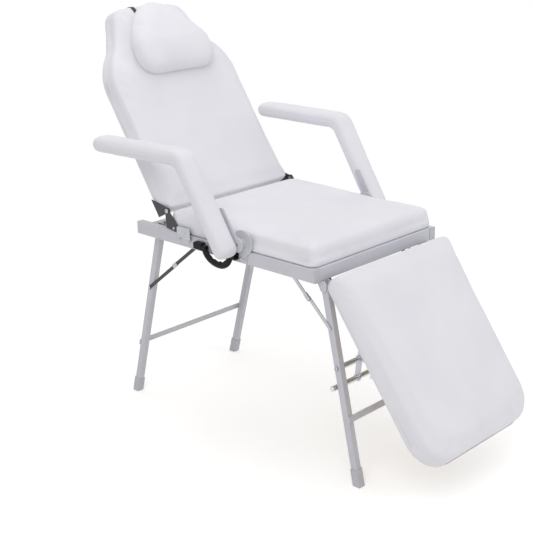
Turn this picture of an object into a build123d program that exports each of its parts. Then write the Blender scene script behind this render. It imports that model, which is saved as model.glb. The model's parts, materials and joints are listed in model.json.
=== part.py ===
from build123d import *
import math
import os

# A portable tattoo chair that folds flat: seat, backrest with head pillow, footrest, two arms.
# +X is across the chair, +Y points to the head end, +Z is up, and left is the -X side.
# While the pieces are drawn, y is 0 at the front ends of the side rails and z is 0 on the floor.
# The export moves the chair along y so that the origin lies on the floor under its middle.

# Main frame
frame_width = 550.0
rail_length = 750.0
rail_height = 40.0
rail_thickness = 25.0
rail_top = 630.0
tube_corner = 3.0
tube_wall = 1.5
end_cap_thickness = 2.5
end_cap_plug = 12.0
front_rail_depth = 20.0
front_rail_setback = 2.0
rear_rail_size = 25.0
rear_rail_setback = 2.0
rear_rail_wall = 2.0

# Clearances
seat_clearance = 0.3
running_clearance = 0.05
soft_clearance = 0.3
overrun = 5.0
trim_reach = 4000.0

# Padding and boards
board_thickness = 12.0
board_margin = 9.0
pad_thickness = 55.0
crown_height = 9.0
side_draw = 4.0
seat_pad_start = 3.0
seat_hinge_gap = 3.0
seat_pad_gap = 2.0
seat_pad_height = 58.0
seat_pad_corner = 28.0

# Backrest
back_angle = 57.0
back_hinge_setback = 150.0
back_start = 6.0
back_reach = 703.0
back_side_gap = 5.0
back_corner = 20.0
back_board_end = 560.0

# Head pillow and its elastic strap
pillow_start = 433.0
pillow_length = 257.0
pillow_half_width = 156.0
pillow_corner = 42.0
pillow_bulge = 64.0
pillow_lift = 0.4
strap_x = 62.0
strap_width = 16.0
strap_thickness = 1.6
strap_tail = 110.0
strap_corner = 6.0

# Footrest
foot_angle = 54.0
foot_hinge_y = 31.4
foot_hinge_z = 598.0
foot_start = 32.4
foot_face = 92.0
foot_length = 590.0
foot_side_gap = 14.0
foot_end_corner = 106.0
foot_near_corner = 30.0
foot_arm_inset = 80.0
foot_arm_thickness = 4.0
foot_arm_width = 12.0
foot_arm_drop = 22.0
foot_arm_front = 42.0
foot_flange_end = 150.0
foot_flange_width = 22.0
foot_flange_thickness = 3.0
foot_pin_radius = 4.0
foot_eye_radius = 8.0
lug_thickness = 3.0
lug_gap = 1.0

# Legs
leg_size = 22.0
leg_side_gap = 10.0
leg_head = 10.0
front_leg_y = -3.0
front_leg_z = 570.0
front_leg_lean = 11.74
rear_leg_setback = 59.0
rear_leg_z = 602.0
rear_leg_lean = 15.5
foot_cap_height = 52.0
foot_cap_wall = 2.0
foot_cap_sole = 6.0
leg_pin_radius = 4.0
bolt_head_radius = 6.5
bolt_head_height = 3.5
leg_bar_height = 19.0
leg_bar_thickness = 4.0
front_bar_z = 197.0
rear_bar_z = 186.0
leg_ear_thickness = 3.0
leg_ear_gap = 1.0
leg_ear_radius = 12.0

# Folding braces and their slip rings
link_width = 11.0
link_thickness = 2.5
link_gap = 1.0
link_spacing = 1.6
rear_brace_reach = 203.0
rear_brace_rivet = 210.0
rear_brace_offset = 7.0
front_brace_y = 125.0
front_brace_z = 602.0
front_brace_rivet = 114.5
rivet_radius = 3.0
rivet_head_radius = 4.5
rivet_head_height = 1.3
ring_wall = 1.0
ring_length = 22.0
ring_lip = 2.4
ring_rise = 1.4

# Support frame of the footrest, carried by the front legs
pivot_tube_along = 231.0
stop_tube_y = -42.0
stop_tube_z = 283.0
stop_tube_overhang = 15.0
support_tube_radius = 8.0
support_end_depth = 5.0
support_plate_inset = 76.0
support_plate_thickness = 4.0
support_eye_radius = 12.0
rest_rod_along = 148.0
rest_eye_radius = 7.4
lever_rod_y = -150.0
lever_rod_z = 338.0
lever_rod_radius = 5.0
lever_rod_gap = 3.0
lever_eye_radius = 9.0

# Backrest prop and its racks
prop_along = 300.0
prop_depth = 70.0
prop_rest_setback = 60.0
prop_rest_z = 622.0
prop_flat_z = 622.0
prop_arm_inset = 60.0
prop_arm_radius = 4.5
prop_eye_half = 4.0
prop_bar_radius = 6.0
prop_bar_end_gap = 38.0
prop_pin_radius = 4.0
prop_lug_thickness = 3.0
prop_lug_radius = 8.0
rack_inset = 43.0
rack_thickness = 4.0
rack_floor = 588.0
rack_lead = 48.0
rack_shoulder_lead = 28.0
rack_clearance = 0.9
rack_notch_depth = 5.0
rack_notch_width = 9.0
rack_notches = 5

# Hinge plates of the backrest
hinge_plate_thickness = 2.5
hinge_eye_radius = 9.0
hinge_pin_radius = 4.0
hinge_pin_head = 7.0
hinge_pin_head_height = 1.6

# Arms
arm_pivot_y = 272.0
arm_pivot_z = 654.0
arm_disc_radius = 38.0
arm_bracket_thickness = 4.0
arm_boss_radius = 14.0
arm_foot_half = 14.0
arm_gap = 28.0
arm_width = 72.0
arm_thickness = 48.0
arm_rounding = 17.0
arm_elbow_y = 438.0
arm_elbow_z = 893.0
arm_tip_y = 784.0
arm_tip_z = 890.0
arm_low_y = 283.0
arm_low_z = 645.0
arm_inner_fillet = 40.0
arm_splay = 2.2
carrier_radius = 22.0
carrier_length = 105.0
carrier_thickness = 4.0

# Carrying handle on the left rail
handle_offset = 11.5
handle_z = 611.0
handle_front = 309.0
handle_rear = 434.0
handle_bar = 14.0
handle_drop = 53.0
handle_pin_radius = 3.5
handle_block_length = 15.0
handle_rear_block = 34.0
handle_block_height = 22.0
handle_wave_radius = 7.5
handle_waves = 4
handle_wave_start_share = 0.27
handle_wave_step_share = 0.13
handle_wave_rise = 1.8

# Draw latch on the left rail
latch_y = 521.0
latch_z = 621.0
latch_length = 58.0
latch_rise = 34.0
latch_sheet = 1.5
latch_knuckle_radius = 3.0
latch_base_length = 30.0
latch_base_drop = 20.0
latch_pin_radius = 1.5

screw_radius = 4.0
screw_head_height = 1.6

# Places worked out from the sizes above
half_width = frame_width / 2
rail_inner = half_width - rail_thickness
back_half_width = half_width - back_side_gap
foot_half_width = half_width - foot_side_gap
back_hinge_y = rail_length - back_hinge_setback
seat_pad_end = back_hinge_y - seat_hinge_gap
rear_leg_y = rail_length - rear_leg_setback
rear_brace_y = rear_leg_y - rear_brace_reach
prop_rest_y = rail_length - prop_rest_setback
rack_start = back_hinge_y - rack_lead
rack_shoulder = back_hinge_y - rack_shoulder_lead
leg_outer_x = rail_inner - leg_side_gap
foot_arm_x = rail_inner - foot_arm_inset
prop_arm_x = rail_inner - prop_arm_inset
prop_bar_half = rail_inner - prop_bar_end_gap
rack_x = rail_inner - rack_inset
handle_x = half_width + handle_offset
rail_floor = rail_top - rail_height
rail_middle = rail_top - rail_height / 2
seat_floor = rail_top + seat_pad_gap
seat_top = seat_floor + seat_pad_height
back_pivot = (back_hinge_y, seat_top)
foot_pivot = (foot_hinge_y, foot_hinge_z)
foot_under = foot_face - pad_thickness
leg_inner_x = leg_outer_x - leg_size
support_plate_x = leg_inner_x - support_plate_inset
stop_tube_half = leg_outer_x + stop_tube_overhang
lever_rod_half = leg_inner_x - lever_rod_gap
front_pivot = (front_leg_y, front_leg_z)
rear_pivot = (rear_leg_y, rear_leg_z)
front_leg_angle = -90 - front_leg_lean
rear_leg_angle = -90 + rear_leg_lean
sides = (("left", -1), ("right", 1))


# Plain geometry in the side plane, where a point is (y, z) and an angle runs from +y to +z
def along(point, angle, distance):
    turn = math.radians(angle)
    return (point[0] + distance * math.cos(turn), point[1] + distance * math.sin(turn))


def distance_between(start, end):
    return math.hypot(end[0] - start[0], end[1] - start[1])


def angle_between(start, end):
    return math.degrees(math.atan2(end[1] - start[1], end[0] - start[0]))


def in_back(s, d, angle=back_angle):
    return along(along(back_pivot, angle, s), angle + 90, d)


def in_foot(b, m, angle=foot_angle):
    return along(along(foot_pivot, 180 + angle, b), 90 + angle, m)


# Small builders
def moved_to(point):
    return Location((point[0], point[1], 0))


def disc(centre, radius):
    return moved_to(centre) * Circle(radius)


def stadium(start, end, width):
    middle = ((start[0] + end[0]) / 2, (start[1] + end[1]) / 2)
    place = Location((middle[0], middle[1], 0), (0, 0, angle_between(start, end)))
    return place * SlotCenterToCenter(distance_between(start, end), width)


def polygon(points):
    return make_face(Polyline(*points, close=True))


def rectangle(low_x, low_y, high_x, high_y):
    return polygon([(low_x, low_y), (high_x, low_y), (high_x, high_y), (low_x, high_y)])


def side_slab(face, low, high):
    return extrude(Plane.YZ.offset(low) * face, amount=high - low)


def both_sides(face, low, high):
    return pair_of(side_slab(face, low, high))


def cross_rod(centre, radius, low, high):
    return side_slab(disc(centre, radius), low, high)


def rod_along_y(x, z, radius, start, end):
    plane = Plane(origin=(x, start, z), x_dir=(1, 0, 0), z_dir=(0, 1, 0))
    return extrude(plane * Circle(radius), end - start)


def square_tube(start, end, width, depth, wall):
    direction = Vector(*end) - Vector(*start)
    across = Vector(1, 0, 0) if abs(direction.X) < direction.length / 2 else Vector(0, 1, 0)
    plane = Plane(origin=start, x_dir=across, z_dir=direction)
    section = RectangleRounded(width, depth, tube_corner)
    if wall:
        section -= RectangleRounded(width - 2 * wall, depth - 2 * wall, tube_corner - wall)
    return extrude(plane * section, amount=direction.length)


def block(low, high):
    size = [high[i] - low[i] for i in range(3)]
    middle = [(high[i] + low[i]) / 2 for i in range(3)]
    return Pos(*middle) * Box(*size)


def pair_of(solid):
    return [solid, mirror(solid, Plane.YZ)]


def on_side(solid, side):
    return solid if side > 0 else mirror(solid, Plane.YZ)


def group(solids):
    return Compound(children=[solid for part in solids for solid in part.solids()])


# Padded forms: a stack of outlines, each drawn in from the widest one, lofted into one skin
def rounded_outline(half, low, high, low_corner, high_corner):
    arcs = []
    corners = [
        ((half - low_corner, low + low_corner), low_corner, -90),
        ((half - high_corner, high - high_corner), high_corner, 0),
        ((-half + high_corner, high - high_corner), high_corner, 90),
        ((-half + low_corner, low + low_corner), low_corner, 180),
    ]
    for centre, radius, angle in corners:
        arcs.append([along(centre, angle + step, radius) for step in (0, 45, 90)])
    outline = []
    for index, arc in enumerate(arcs):
        following = arcs[(index + 1) % len(arcs)][0]
        outline.append(arc)
        middle = ((arc[2][0] + following[0]) / 2, (arc[2][1] + following[1]) / 2)
        outward = angle_between(arc[2], following) - 90
        outline.append([arc[2], along(middle, outward, -side_draw), following])
    return outline


def pad_level(outline, centre, half_sizes, inset):
    shares = [1 - inset / half_sizes[axis] for axis in range(2)]
    edges = []
    for arc in outline:
        places = [
            tuple(centre[axis] + (point[axis] - centre[axis]) * shares[axis] for axis in range(2))
            for point in arc
        ]
        edges.append(ThreePointArc(*places))
    return make_face(edges)


def padded_form(plane, outline, levels):
    points = [point for arc in outline for point in arc]
    lows = [min(point[axis] for point in points) for axis in range(2)]
    highs = [max(point[axis] for point in points) for axis in range(2)]
    centre = [(lows[axis] + highs[axis]) / 2 for axis in range(2)]
    half_sizes = [(highs[axis] - lows[axis]) / 2 for axis in range(2)]
    faces = []
    for height, inset in levels:
        faces.append(plane.offset(height) * pad_level(outline, centre, half_sizes, inset))
    return loft(faces, ruled=True)


# Heights are shares of the pad's thickness from its underside, insets are shares of that thickness
pad_rim_shares = [(0.0, 0.09), (0.14, 0.015), (0.42, 0.0), (0.7, 0.03), (0.88, 0.13), (0.97, 0.29)]
# Above the rim, heights are shares of the crown and insets shares of the pad's half width
pad_crown_shares = [(0.3, 0.2), (0.75, 0.42), (1.0, 0.72)]


def pad_levels(thickness, crown, half):
    rim = [(height * thickness, inset * thickness) for height, inset in pad_rim_shares]
    return rim + [(thickness + height * crown, inset * half) for height, inset in pad_crown_shares]


# Planes of the three padded sections, each at the underside of its pad with +Z out of the pad
def seat_plane():
    return Plane(origin=(0, 0, seat_floor), x_dir=(1, 0, 0), z_dir=(0, 0, 1))


def back_plane(angle=back_angle):
    y, z = in_back(0, -pad_thickness, angle)
    face = along((0, 0), angle + 90, 1)
    return Plane(origin=(0, y, z), x_dir=(1, 0, 0), z_dir=(0, face[0], face[1]))


def foot_plane(angle=foot_angle):
    y, z = in_foot(0, foot_under, angle)
    face = along((0, 0), 90 + angle, 1)
    return Plane(origin=(0, y, z), x_dir=(-1, 0, 0), z_dir=(0, face[0], face[1]))


# Frame
def side_rail(side):
    x = side * (half_width - rail_thickness / 2)
    cap = end_cap_thickness + running_clearance
    end = (x, rail_length - cap, rail_middle)
    return square_tube((x, cap, rail_middle), end, rail_thickness, rail_height, tube_wall)


def front_cross_rail():
    y = front_rail_setback + front_rail_depth / 2
    start = (-rail_inner, y, rail_middle)
    end = (rail_inner, y, rail_middle)
    return square_tube(start, end, front_rail_depth, rail_height, tube_wall)


def rear_rail_y():
    return rail_length - rear_rail_setback - rear_rail_size / 2


def rear_cross_rail():
    z = rail_floor + rear_rail_size / 2
    start = (-rail_inner, rear_rail_y(), z)
    end = (rail_inner, rear_rail_y(), z)
    return square_tube(start, end, rear_rail_size, rear_rail_size, rear_rail_wall)


def rail_end_caps():
    wall = tube_wall + running_clearance
    inner = (rail_thickness - 2 * wall, rail_height - 2 * wall)
    caps = []
    for name, side in sides:
        x = side * (half_width - rail_thickness / 2)
        for y, outward in ((0, -1), (rail_length, 1)):
            plane = Plane(origin=(x, y, rail_middle), x_dir=(1, 0, 0), z_dir=(0, -outward, 0))
            plate = RectangleRounded(rail_thickness, rail_height, tube_corner)
            cap = extrude(plane * plate, end_cap_thickness)
            plug = RectangleRounded(inner[0], inner[1], tube_corner - wall)
            cap += extrude(plane * plug, end_cap_thickness + end_cap_plug)
            caps.append(cap)
    return group(caps)


# Padding
def board(plane, half, low, high, low_corner, high_corner):
    outline = RectangleRounded(2 * half, high - low, min(low_corner, high_corner))
    return extrude(plane * Pos(0, (low + high) / 2) * outline, amount=board_thickness)


def seat_board():
    half = half_width - board_margin
    low = seat_pad_start + board_margin
    high = seat_pad_end - board_margin
    return board(seat_plane(), half, low, high, seat_pad_corner, seat_pad_corner)


def seat_cushion():
    outline = rounded_outline(half_width, seat_pad_start, seat_pad_end, seat_pad_corner, seat_pad_corner)
    pad = padded_form(seat_plane(), outline, pad_levels(seat_pad_height, crown_height, half_width))
    return pad - seat_board()


# The backrest narrows from its shoulders to the head end: points of the right half from the
# widest side to the top, as shares of the half width and of the reach along the backrest
back_shares = [
    (1.0, 0.569),
    (0.945, 0.697),
    (0.785, 0.78),
    (0.7, 0.853),
    (0.622, 0.932),
    (0.545, 0.972),
    (0.415, 0.991),
]


def back_outline():
    right = [(x * back_half_width, s * back_reach) for x, s in back_shares]
    left = [(-x, s) for x, s in reversed(right)]
    corner = (back_half_width - back_corner, back_start + back_corner)
    mirrored = (-corner[0], corner[1])
    low_right = [along(corner, angle, back_corner) for angle in (-90, -45, 0)]
    low_left = [along(mirrored, angle, back_corner) for angle in (180, 225, 270)]
    side_middle = (low_right[2][1] + right[0][1]) / 2
    return [
        low_right,
        [low_right[2], (back_half_width - side_draw, side_middle), right[0]],
        right[0:3],
        right[2:5],
        right[4:7],
        [right[6], (0, back_reach), left[0]],
        left[0:3],
        left[2:5],
        left[4:7],
        [left[6], (side_draw - back_half_width, side_middle), low_left[0]],
        low_left,
        [low_left[2], (0, back_start + side_draw), low_right[0]],
    ]


def backrest_board():
    half = back_half_width - board_margin
    plate = board(back_plane(), half, back_start + board_margin, back_board_end, back_corner, back_corner)
    centre = [0, (back_start + back_reach) / 2]
    half_sizes = [back_half_width, (back_reach - back_start) / 2]
    limit = pad_level(back_outline(), centre, half_sizes, board_margin)
    return plate & extrude(back_plane() * limit, amount=board_thickness)


def backrest_cushion():
    pad = padded_form(back_plane(), back_outline(), pad_levels(pad_thickness, crown_height, back_half_width))
    return pad - backrest_board()


# Pillow: wide at its lower edge and drawn in towards the head end, with a full round back.
# Points of the right half from the lower corner to the top, as shares of half width and length
pillow_shares = [(1.0, 0.24), (0.985, 0.43), (0.83, 0.62), (0.6, 0.83), (0.0, 0.97)]
# Heights are shares of the bulge, insets are shares of the bulge too
pillow_level_shares = [
    (0.0, 0.08),
    (0.15, 0.01),
    (0.32, 0.0),
    (0.52, 0.05),
    (0.7, 0.17),
    (0.84, 0.36),
    (0.94, 0.62),
    (1.0, 1.05),
]


def pillow_outline():
    corner = (pillow_half_width - pillow_corner, pillow_start + pillow_corner)
    right = [(x * pillow_half_width, pillow_start + s * pillow_length) for x, s in pillow_shares]
    left = [(-x, s) for x, s in right[::-1]]
    low_right = [along(corner, angle, pillow_corner) for angle in (-90, -45, 0)]
    low_left = [(-x, s) for x, s in low_right[::-1]]
    return [
        low_right,
        [low_right[2], right[0], right[1]],
        [right[1], right[2], right[3]],
        [right[3], right[4], left[1]],
        [left[1], left[2], left[3]],
        [left[3], left[4], low_left[0]],
        low_left,
        [low_left[2], (0, pillow_start + side_draw / 2), low_right[0]],
    ]


def head_pillow():
    levels = [(height * pillow_bulge, inset * pillow_bulge) for height, inset in pillow_level_shares]
    base = back_plane().offset(pad_thickness + crown_height + pillow_lift)
    return padded_form(base, pillow_outline(), levels)


def pillow_strap():
    under = -pad_thickness - soft_clearance
    over = crown_height + soft_clearance
    end = back_reach + soft_clearance
    start = back_reach - strap_tail
    thick = strap_thickness
    outer = rectangle(start, under - thick, end + thick, over + thick)
    inner = rectangle(start, under, end, over)
    rounded_outer = fillet(outer.vertices().sort_by(Axis.X)[2:], strap_corner)
    rounded_inner = fillet(inner.vertices().sort_by(Axis.X)[2:], strap_corner - thick)
    front_cut = rectangle(start, 0, pillow_start + pillow_length + thick, over + 2 * thick)
    band = rounded_outer - rounded_inner - front_cut
    y, z = back_pivot
    turn = math.radians(back_angle)
    straps = []
    for name, side in sides:
        low = side * strap_x - strap_width / 2
        plane = Plane(origin=(low, y, z), x_dir=(0, math.cos(turn), math.sin(turn)), z_dir=(1, 0, 0))
        straps.append(extrude(plane * band, amount=strap_width))
    return group(straps)


def footrest_board():
    low = foot_start + board_margin
    high = foot_start + foot_length - foot_end_corner / 2
    half = foot_half_width - board_margin * 2
    return board(foot_plane(), half, low, high, foot_near_corner, foot_near_corner)


def footrest_cushion():
    end = foot_start + foot_length
    outline = rounded_outline(foot_half_width, foot_start, end, foot_near_corner, foot_end_corner)
    pad = padded_form(foot_plane(), outline, pad_levels(pad_thickness, crown_height, foot_half_width))
    return pad - footrest_board()


# Backrest hinge plates
def seat_plate_face():
    eye = disc(back_pivot, hinge_eye_radius)
    low = seat_floor + board_thickness
    tail = polygon([
        (back_pivot[0] - hinge_eye_radius * 0.7, back_pivot[1] + hinge_eye_radius * 0.6),
        (back_pivot[0] - pad_thickness, low),
        (back_pivot[0] - pad_thickness * 0.66, seat_floor),
        (back_pivot[0] + hinge_eye_radius * 0.5, seat_floor + board_thickness * 0.4),
        (back_pivot[0] + hinge_eye_radius * 0.9, back_pivot[1]),
    ])
    return eye + tail


def seat_plate_low():
    return half_width + soft_clearance + seat_clearance


def seat_hinge_plates():
    low = seat_plate_low()
    face = seat_plate_face() - disc(back_pivot, hinge_pin_radius + running_clearance)
    return group(both_sides(face, low, low + hinge_plate_thickness))


def back_plate_low():
    return back_half_width + soft_clearance + seat_clearance


def backrest_hinge_plates():
    low = back_plate_low()
    eye = disc(back_pivot, hinge_eye_radius)
    tail = polygon([
        in_back(-hinge_eye_radius * 0.6, -hinge_eye_radius * 0.6),
        in_back(0, -pad_thickness * 0.95),
        in_back(pad_thickness * 1.1, -pad_thickness * 0.95),
        in_back(hinge_eye_radius * 0.7, hinge_eye_radius * 0.6),
    ])
    face = eye + tail - disc(back_pivot, hinge_pin_radius + running_clearance)
    return group(both_sides(face, low, low + hinge_plate_thickness))


def backrest_pivot_pins():
    inner = back_plate_low() - hinge_pin_head_height - running_clearance
    outer = seat_plate_low() + hinge_plate_thickness
    pin = cross_rod(back_pivot, hinge_pin_radius, inner, outer)
    pin += cross_rod(back_pivot, hinge_pin_head, outer, outer + hinge_pin_head_height)
    return group(pair_of(pin))


# Backrest prop: how its foot bar moves when the prop turns in a constant ratio to the backrest
def prop_pivot(angle):
    return in_back(prop_along, -prop_depth, angle)


prop_length = distance_between(prop_pivot(back_angle), (prop_rest_y, prop_rest_z))
prop_rest_turn = angle_between(prop_pivot(back_angle), (prop_rest_y, prop_rest_z)) % 360 - back_angle
prop_flat_turn = 180 - math.degrees(math.asin((prop_flat_z - prop_pivot(0)[1]) / prop_length))
prop_ratio = (prop_rest_turn - prop_flat_turn) / back_angle


def prop_foot(angle):
    turn = prop_rest_turn + (angle - back_angle) * prop_ratio
    return along(prop_pivot(angle), angle + turn, prop_length)


def prop_arms():
    pivot = prop_pivot(back_angle)
    foot = prop_foot(back_angle)
    arms = []
    for name, side in sides:
        x = side * prop_arm_x
        start = Vector(x, *pivot)
        end = Vector(x, *foot)
        direction = end - start
        plane = Plane(origin=start, x_dir=(1, 0, 0), z_dir=direction)
        rod = extrude(plane * Circle(prop_arm_radius), amount=direction.length)
        low = x - prop_eye_half
        high = x + prop_eye_half
        eye = side_slab(disc(pivot, prop_lug_radius) + disc(foot, prop_lug_radius), low, high)
        arm = rod + eye
        arm -= cross_rod(pivot, prop_pin_radius + running_clearance, low - overrun, high + overrun)
        arm -= cross_rod(foot, prop_bar_radius, low - overrun, high + overrun)
        arms.append(arm)
    return group(arms)


def prop_foot_bar():
    return cross_rod(prop_foot(back_angle), prop_bar_radius, -prop_bar_half, prop_bar_half)


def prop_brackets():
    pivot = prop_pivot(back_angle)
    lug = disc(pivot, prop_lug_radius) + polygon([
        along(pivot, back_angle, -prop_lug_radius),
        in_back(prop_along - prop_lug_radius * 1.6, -pad_thickness),
        in_back(prop_along + prop_lug_radius * 1.6, -pad_thickness),
        along(pivot, back_angle, prop_lug_radius),
    ])
    inner = prop_arm_x - prop_arm_radius - seat_clearance - prop_lug_thickness
    outer = prop_arm_x + prop_arm_radius + seat_clearance + prop_lug_thickness
    bracket = side_slab(lug, inner, inner + prop_lug_thickness)
    bracket += side_slab(lug, outer - prop_lug_thickness, outer)
    bracket += cross_rod(pivot, prop_pin_radius, inner, outer)
    return group(pair_of(bracket))


# Points of the rack's edge, square to the path of the foot bar
def rack_edge_point(angle):
    heading = angle_between(prop_foot(angle - 1), prop_foot(angle + 1))
    return along(prop_foot(angle), heading - 90, prop_bar_radius + rack_clearance)


def backrest_racks():
    reach = prop_bar_radius + rack_clearance
    steps = [back_angle * step / (rack_notches - 1) for step in range(rack_notches)]
    feet = [prop_foot(angle) for angle in steps]
    flat, dip, rest = [rack_edge_point(angle) for angle in (0, back_angle / 2, back_angle)]
    rear = rear_rail_y() - rear_rail_size / 2
    edges = [
        Polyline((rear, rest[1]), (rear, rack_floor), (rack_start, rack_floor), (rack_start, seat_floor)),
        Polyline((rack_start, seat_floor), (rack_shoulder, seat_floor), (rack_shoulder, flat[1]), flat),
        ThreePointArc(flat, dip, rest),
        Line(rest, (rear, rest[1])),
    ]
    face = make_face(edges)
    for foot in feet:
        low = foot[1] - reach
        face -= polygon([
            (foot[0] - rack_notch_width / 2, low + rack_notch_depth),
            (foot[0] - rack_notch_width / 4, low - rack_notch_depth),
            (foot[0] + rack_notch_width / 4, low - rack_notch_depth),
            (foot[0] + rack_notch_width / 2, low + rack_notch_depth),
        ])
    return group(both_sides(face, rack_x - rack_thickness / 2, rack_x + rack_thickness / 2))


# Legs
def leg_tube(side, pivot, angle):
    x = side * (leg_outer_x - leg_size / 2)
    top = along(pivot, angle, -leg_head)
    end = along(pivot, angle, pivot[1] / abs(math.sin(math.radians(angle))) + leg_size)
    tube = square_tube((x, *top), (x, *end), leg_size, leg_size, tube_wall)
    tube -= block((-trim_reach, -trim_reach, -trim_reach), (trim_reach, trim_reach, foot_cap_sole))
    reach = leg_outer_x + overrun
    return tube - cross_rod(pivot, leg_pin_radius + running_clearance, -reach, reach)


def foot_cap(side, pivot, angle):
    x = side * (leg_outer_x - leg_size / 2)
    size = leg_size + 2 * foot_cap_wall
    run = pivot[1] / abs(math.sin(math.radians(angle)))
    top = along(pivot, angle, run - foot_cap_height)
    end = along(pivot, angle, run + leg_size)
    cap = square_tube((x, *top), (x, *end), size, size, 0)
    cap -= block((-trim_reach, -trim_reach, -trim_reach), (trim_reach, trim_reach, 0))
    core = square_tube((x, *along(top, angle, -overrun)), (x, *end), leg_size, leg_size, 0)
    core -= block((-trim_reach, -trim_reach, -trim_reach), (trim_reach, trim_reach, foot_cap_sole))
    return cap - core


def leg_bar(pivot, angle, height, outward):
    on_leg = along(pivot, angle, (pivot[1] - height) / abs(math.sin(math.radians(angle))))
    near = along(on_leg, angle + 90 * outward, leg_size / 2)
    middle = along(near, angle + 90 * outward, leg_bar_thickness / 2)
    place = Location((middle[0], middle[1], 0), (0, 0, angle))
    return side_slab(place * Rectangle(leg_bar_height, leg_bar_thickness), -leg_outer_x, leg_outer_x)


def front_leg_brackets():
    web_rear = front_rail_setback + front_rail_depth
    high = rail_floor
    cheek = disc(front_pivot, leg_ear_radius) + polygon([
        (front_pivot[0] - leg_ear_radius, front_pivot[1]),
        (front_pivot[0] - leg_ear_radius, high - leg_ear_thickness),
        (front_rail_setback, high),
        (web_rear, high),
        (front_pivot[0] + leg_ear_radius, front_pivot[1]),
    ])
    cheek -= disc(front_pivot, leg_pin_radius)
    inner = leg_inner_x - leg_ear_gap - leg_ear_thickness
    outer = leg_outer_x + leg_ear_gap + leg_ear_thickness
    web = polygon([
        (front_rail_setback, high - leg_ear_thickness),
        (web_rear, high - leg_ear_thickness),
        (web_rear, high),
        (front_rail_setback, high),
    ])
    bracket = side_slab(cheek, inner, inner + leg_ear_thickness)
    bracket += side_slab(cheek, outer - leg_ear_thickness, outer)
    bracket += side_slab(web, inner, outer)
    return group(pair_of(bracket))


def leg_pivot_bolts():
    inner = leg_inner_x - leg_ear_gap - leg_ear_thickness
    outer = leg_outer_x + leg_ear_gap + leg_ear_thickness
    front = cross_rod(front_pivot, leg_pin_radius, inner, outer)
    front += cross_rod(front_pivot, bolt_head_radius, inner - bolt_head_height, inner)
    start = leg_inner_x - leg_ear_gap
    rear = cross_rod(rear_pivot, leg_pin_radius, start, rail_inner)
    rear += cross_rod(rear_pivot, bolt_head_radius, start - bolt_head_height, start)
    rear += cross_rod(rear_pivot, bolt_head_radius, leg_outer_x + leg_ear_gap, rail_inner)
    return group(pair_of(front) + pair_of(rear))


# Folding braces: each is straight when the legs stand, and meets its rail and leg again when folded
lower_low = leg_outer_x + link_gap
lower_high = lower_low + link_thickness
upper_low = lower_high + link_spacing
upper_high = upper_low + link_thickness

rear_rail_point = (rear_brace_y, rear_leg_z)
rear_leg_point = along(rear_pivot, rear_leg_angle, rear_brace_rivet)
rear_span = distance_between(rear_leg_point, rear_rail_point)
rear_upper_length = (rear_span - rear_brace_offset) / 2
rear_upper_angle = angle_between(rear_rail_point, rear_leg_point)
rear_knee = along(rear_rail_point, rear_upper_angle, rear_upper_length)

front_rail_point = (front_brace_y, front_brace_z)
front_leg_point = along(front_pivot, front_leg_angle, front_brace_rivet)
front_span = distance_between(front_leg_point, front_rail_point)
front_upper_length = front_span / 2
front_upper_angle = angle_between(front_rail_point, front_leg_point)
front_knee = along(front_rail_point, front_upper_angle, front_upper_length)


def brace_upper(rail_point, knee):
    face = stadium(rail_point, knee, link_width) - disc(rail_point, rivet_radius + running_clearance)
    link = side_slab(face, upper_low, upper_high)
    link += cross_rod(knee, rivet_radius, lower_high + running_clearance, upper_low)
    return group(pair_of(link))


def brace_lower(leg_point, knee):
    face = stadium(leg_point, knee, link_width) - disc(leg_point, rivet_radius + running_clearance)
    return group(both_sides(face, lower_low, lower_high))


def leg_rivets(leg_point):
    rivet = cross_rod(leg_point, rivet_radius, leg_outer_x, lower_high)
    rivet += cross_rod(leg_point, rivet_head_radius, leg_outer_x, lower_low)
    rivet += cross_rod(leg_point, rivet_head_radius, lower_high, lower_high + rivet_head_height)
    return group(pair_of(rivet))


def brace_rail_pins():
    head_end = half_width + rivet_head_height
    pins = pair_of(cross_rod(rear_rail_point, rivet_head_radius, half_width, head_end))
    for point in (front_rail_point, rear_rail_point):
        pin = cross_rod(point, rivet_radius, upper_low, rail_inner)
        pin += cross_rod(point, rivet_head_radius, upper_high + running_clearance, rail_inner)
        pins += pair_of(pin)
    return group(pins)


def slip_ring(side, rail_point, knee):
    gap = (link_spacing - ring_wall) / 2
    inner_low = upper_low - gap
    inner_high = upper_high + gap
    angle = angle_between(rail_point, knee)
    centre = along(knee, angle, -ring_length / 4)
    half = link_width / 2 + ring_rise - ring_wall
    middle = (centre[0], centre[1], 0)
    place = Location(middle, (0, 0, angle))
    around = place * Rectangle(ring_length, 2 * (half + ring_wall))
    outer = side_slab(around, inner_low - ring_wall, inner_high + ring_wall)
    inner = side_slab(place * Rectangle(ring_length + overrun, 2 * half), inner_low, inner_high)
    slot = place * Rectangle(ring_length + overrun, 2 * (half - ring_lip))
    mouth = side_slab(slot, inner_low - ring_wall - overrun, inner_low + gap)
    return on_side(outer - inner - mouth, side)


# Footrest hinge
def footrest_hinge_lugs():
    rail_rear = front_rail_setback + front_rail_depth
    lug = disc(foot_pivot, foot_eye_radius) + polygon([
        (rail_rear, foot_pivot[1] - foot_eye_radius),
        (foot_pivot[0], foot_pivot[1] - foot_eye_radius),
        (foot_pivot[0] + foot_eye_radius, foot_pivot[1]),
        (foot_pivot[0], rail_middle + foot_eye_radius),
        (rail_rear, rail_top - tube_corner),
    ])
    inner = foot_arm_x - foot_arm_thickness / 2 - lug_gap - lug_thickness
    outer = foot_arm_x + foot_arm_thickness / 2 + lug_gap + lug_thickness
    body = side_slab(lug, inner, inner + lug_thickness)
    body += side_slab(lug, outer - lug_thickness, outer)
    body += cross_rod(foot_pivot, foot_pin_radius, inner, outer)
    return group(pair_of(body))


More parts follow.
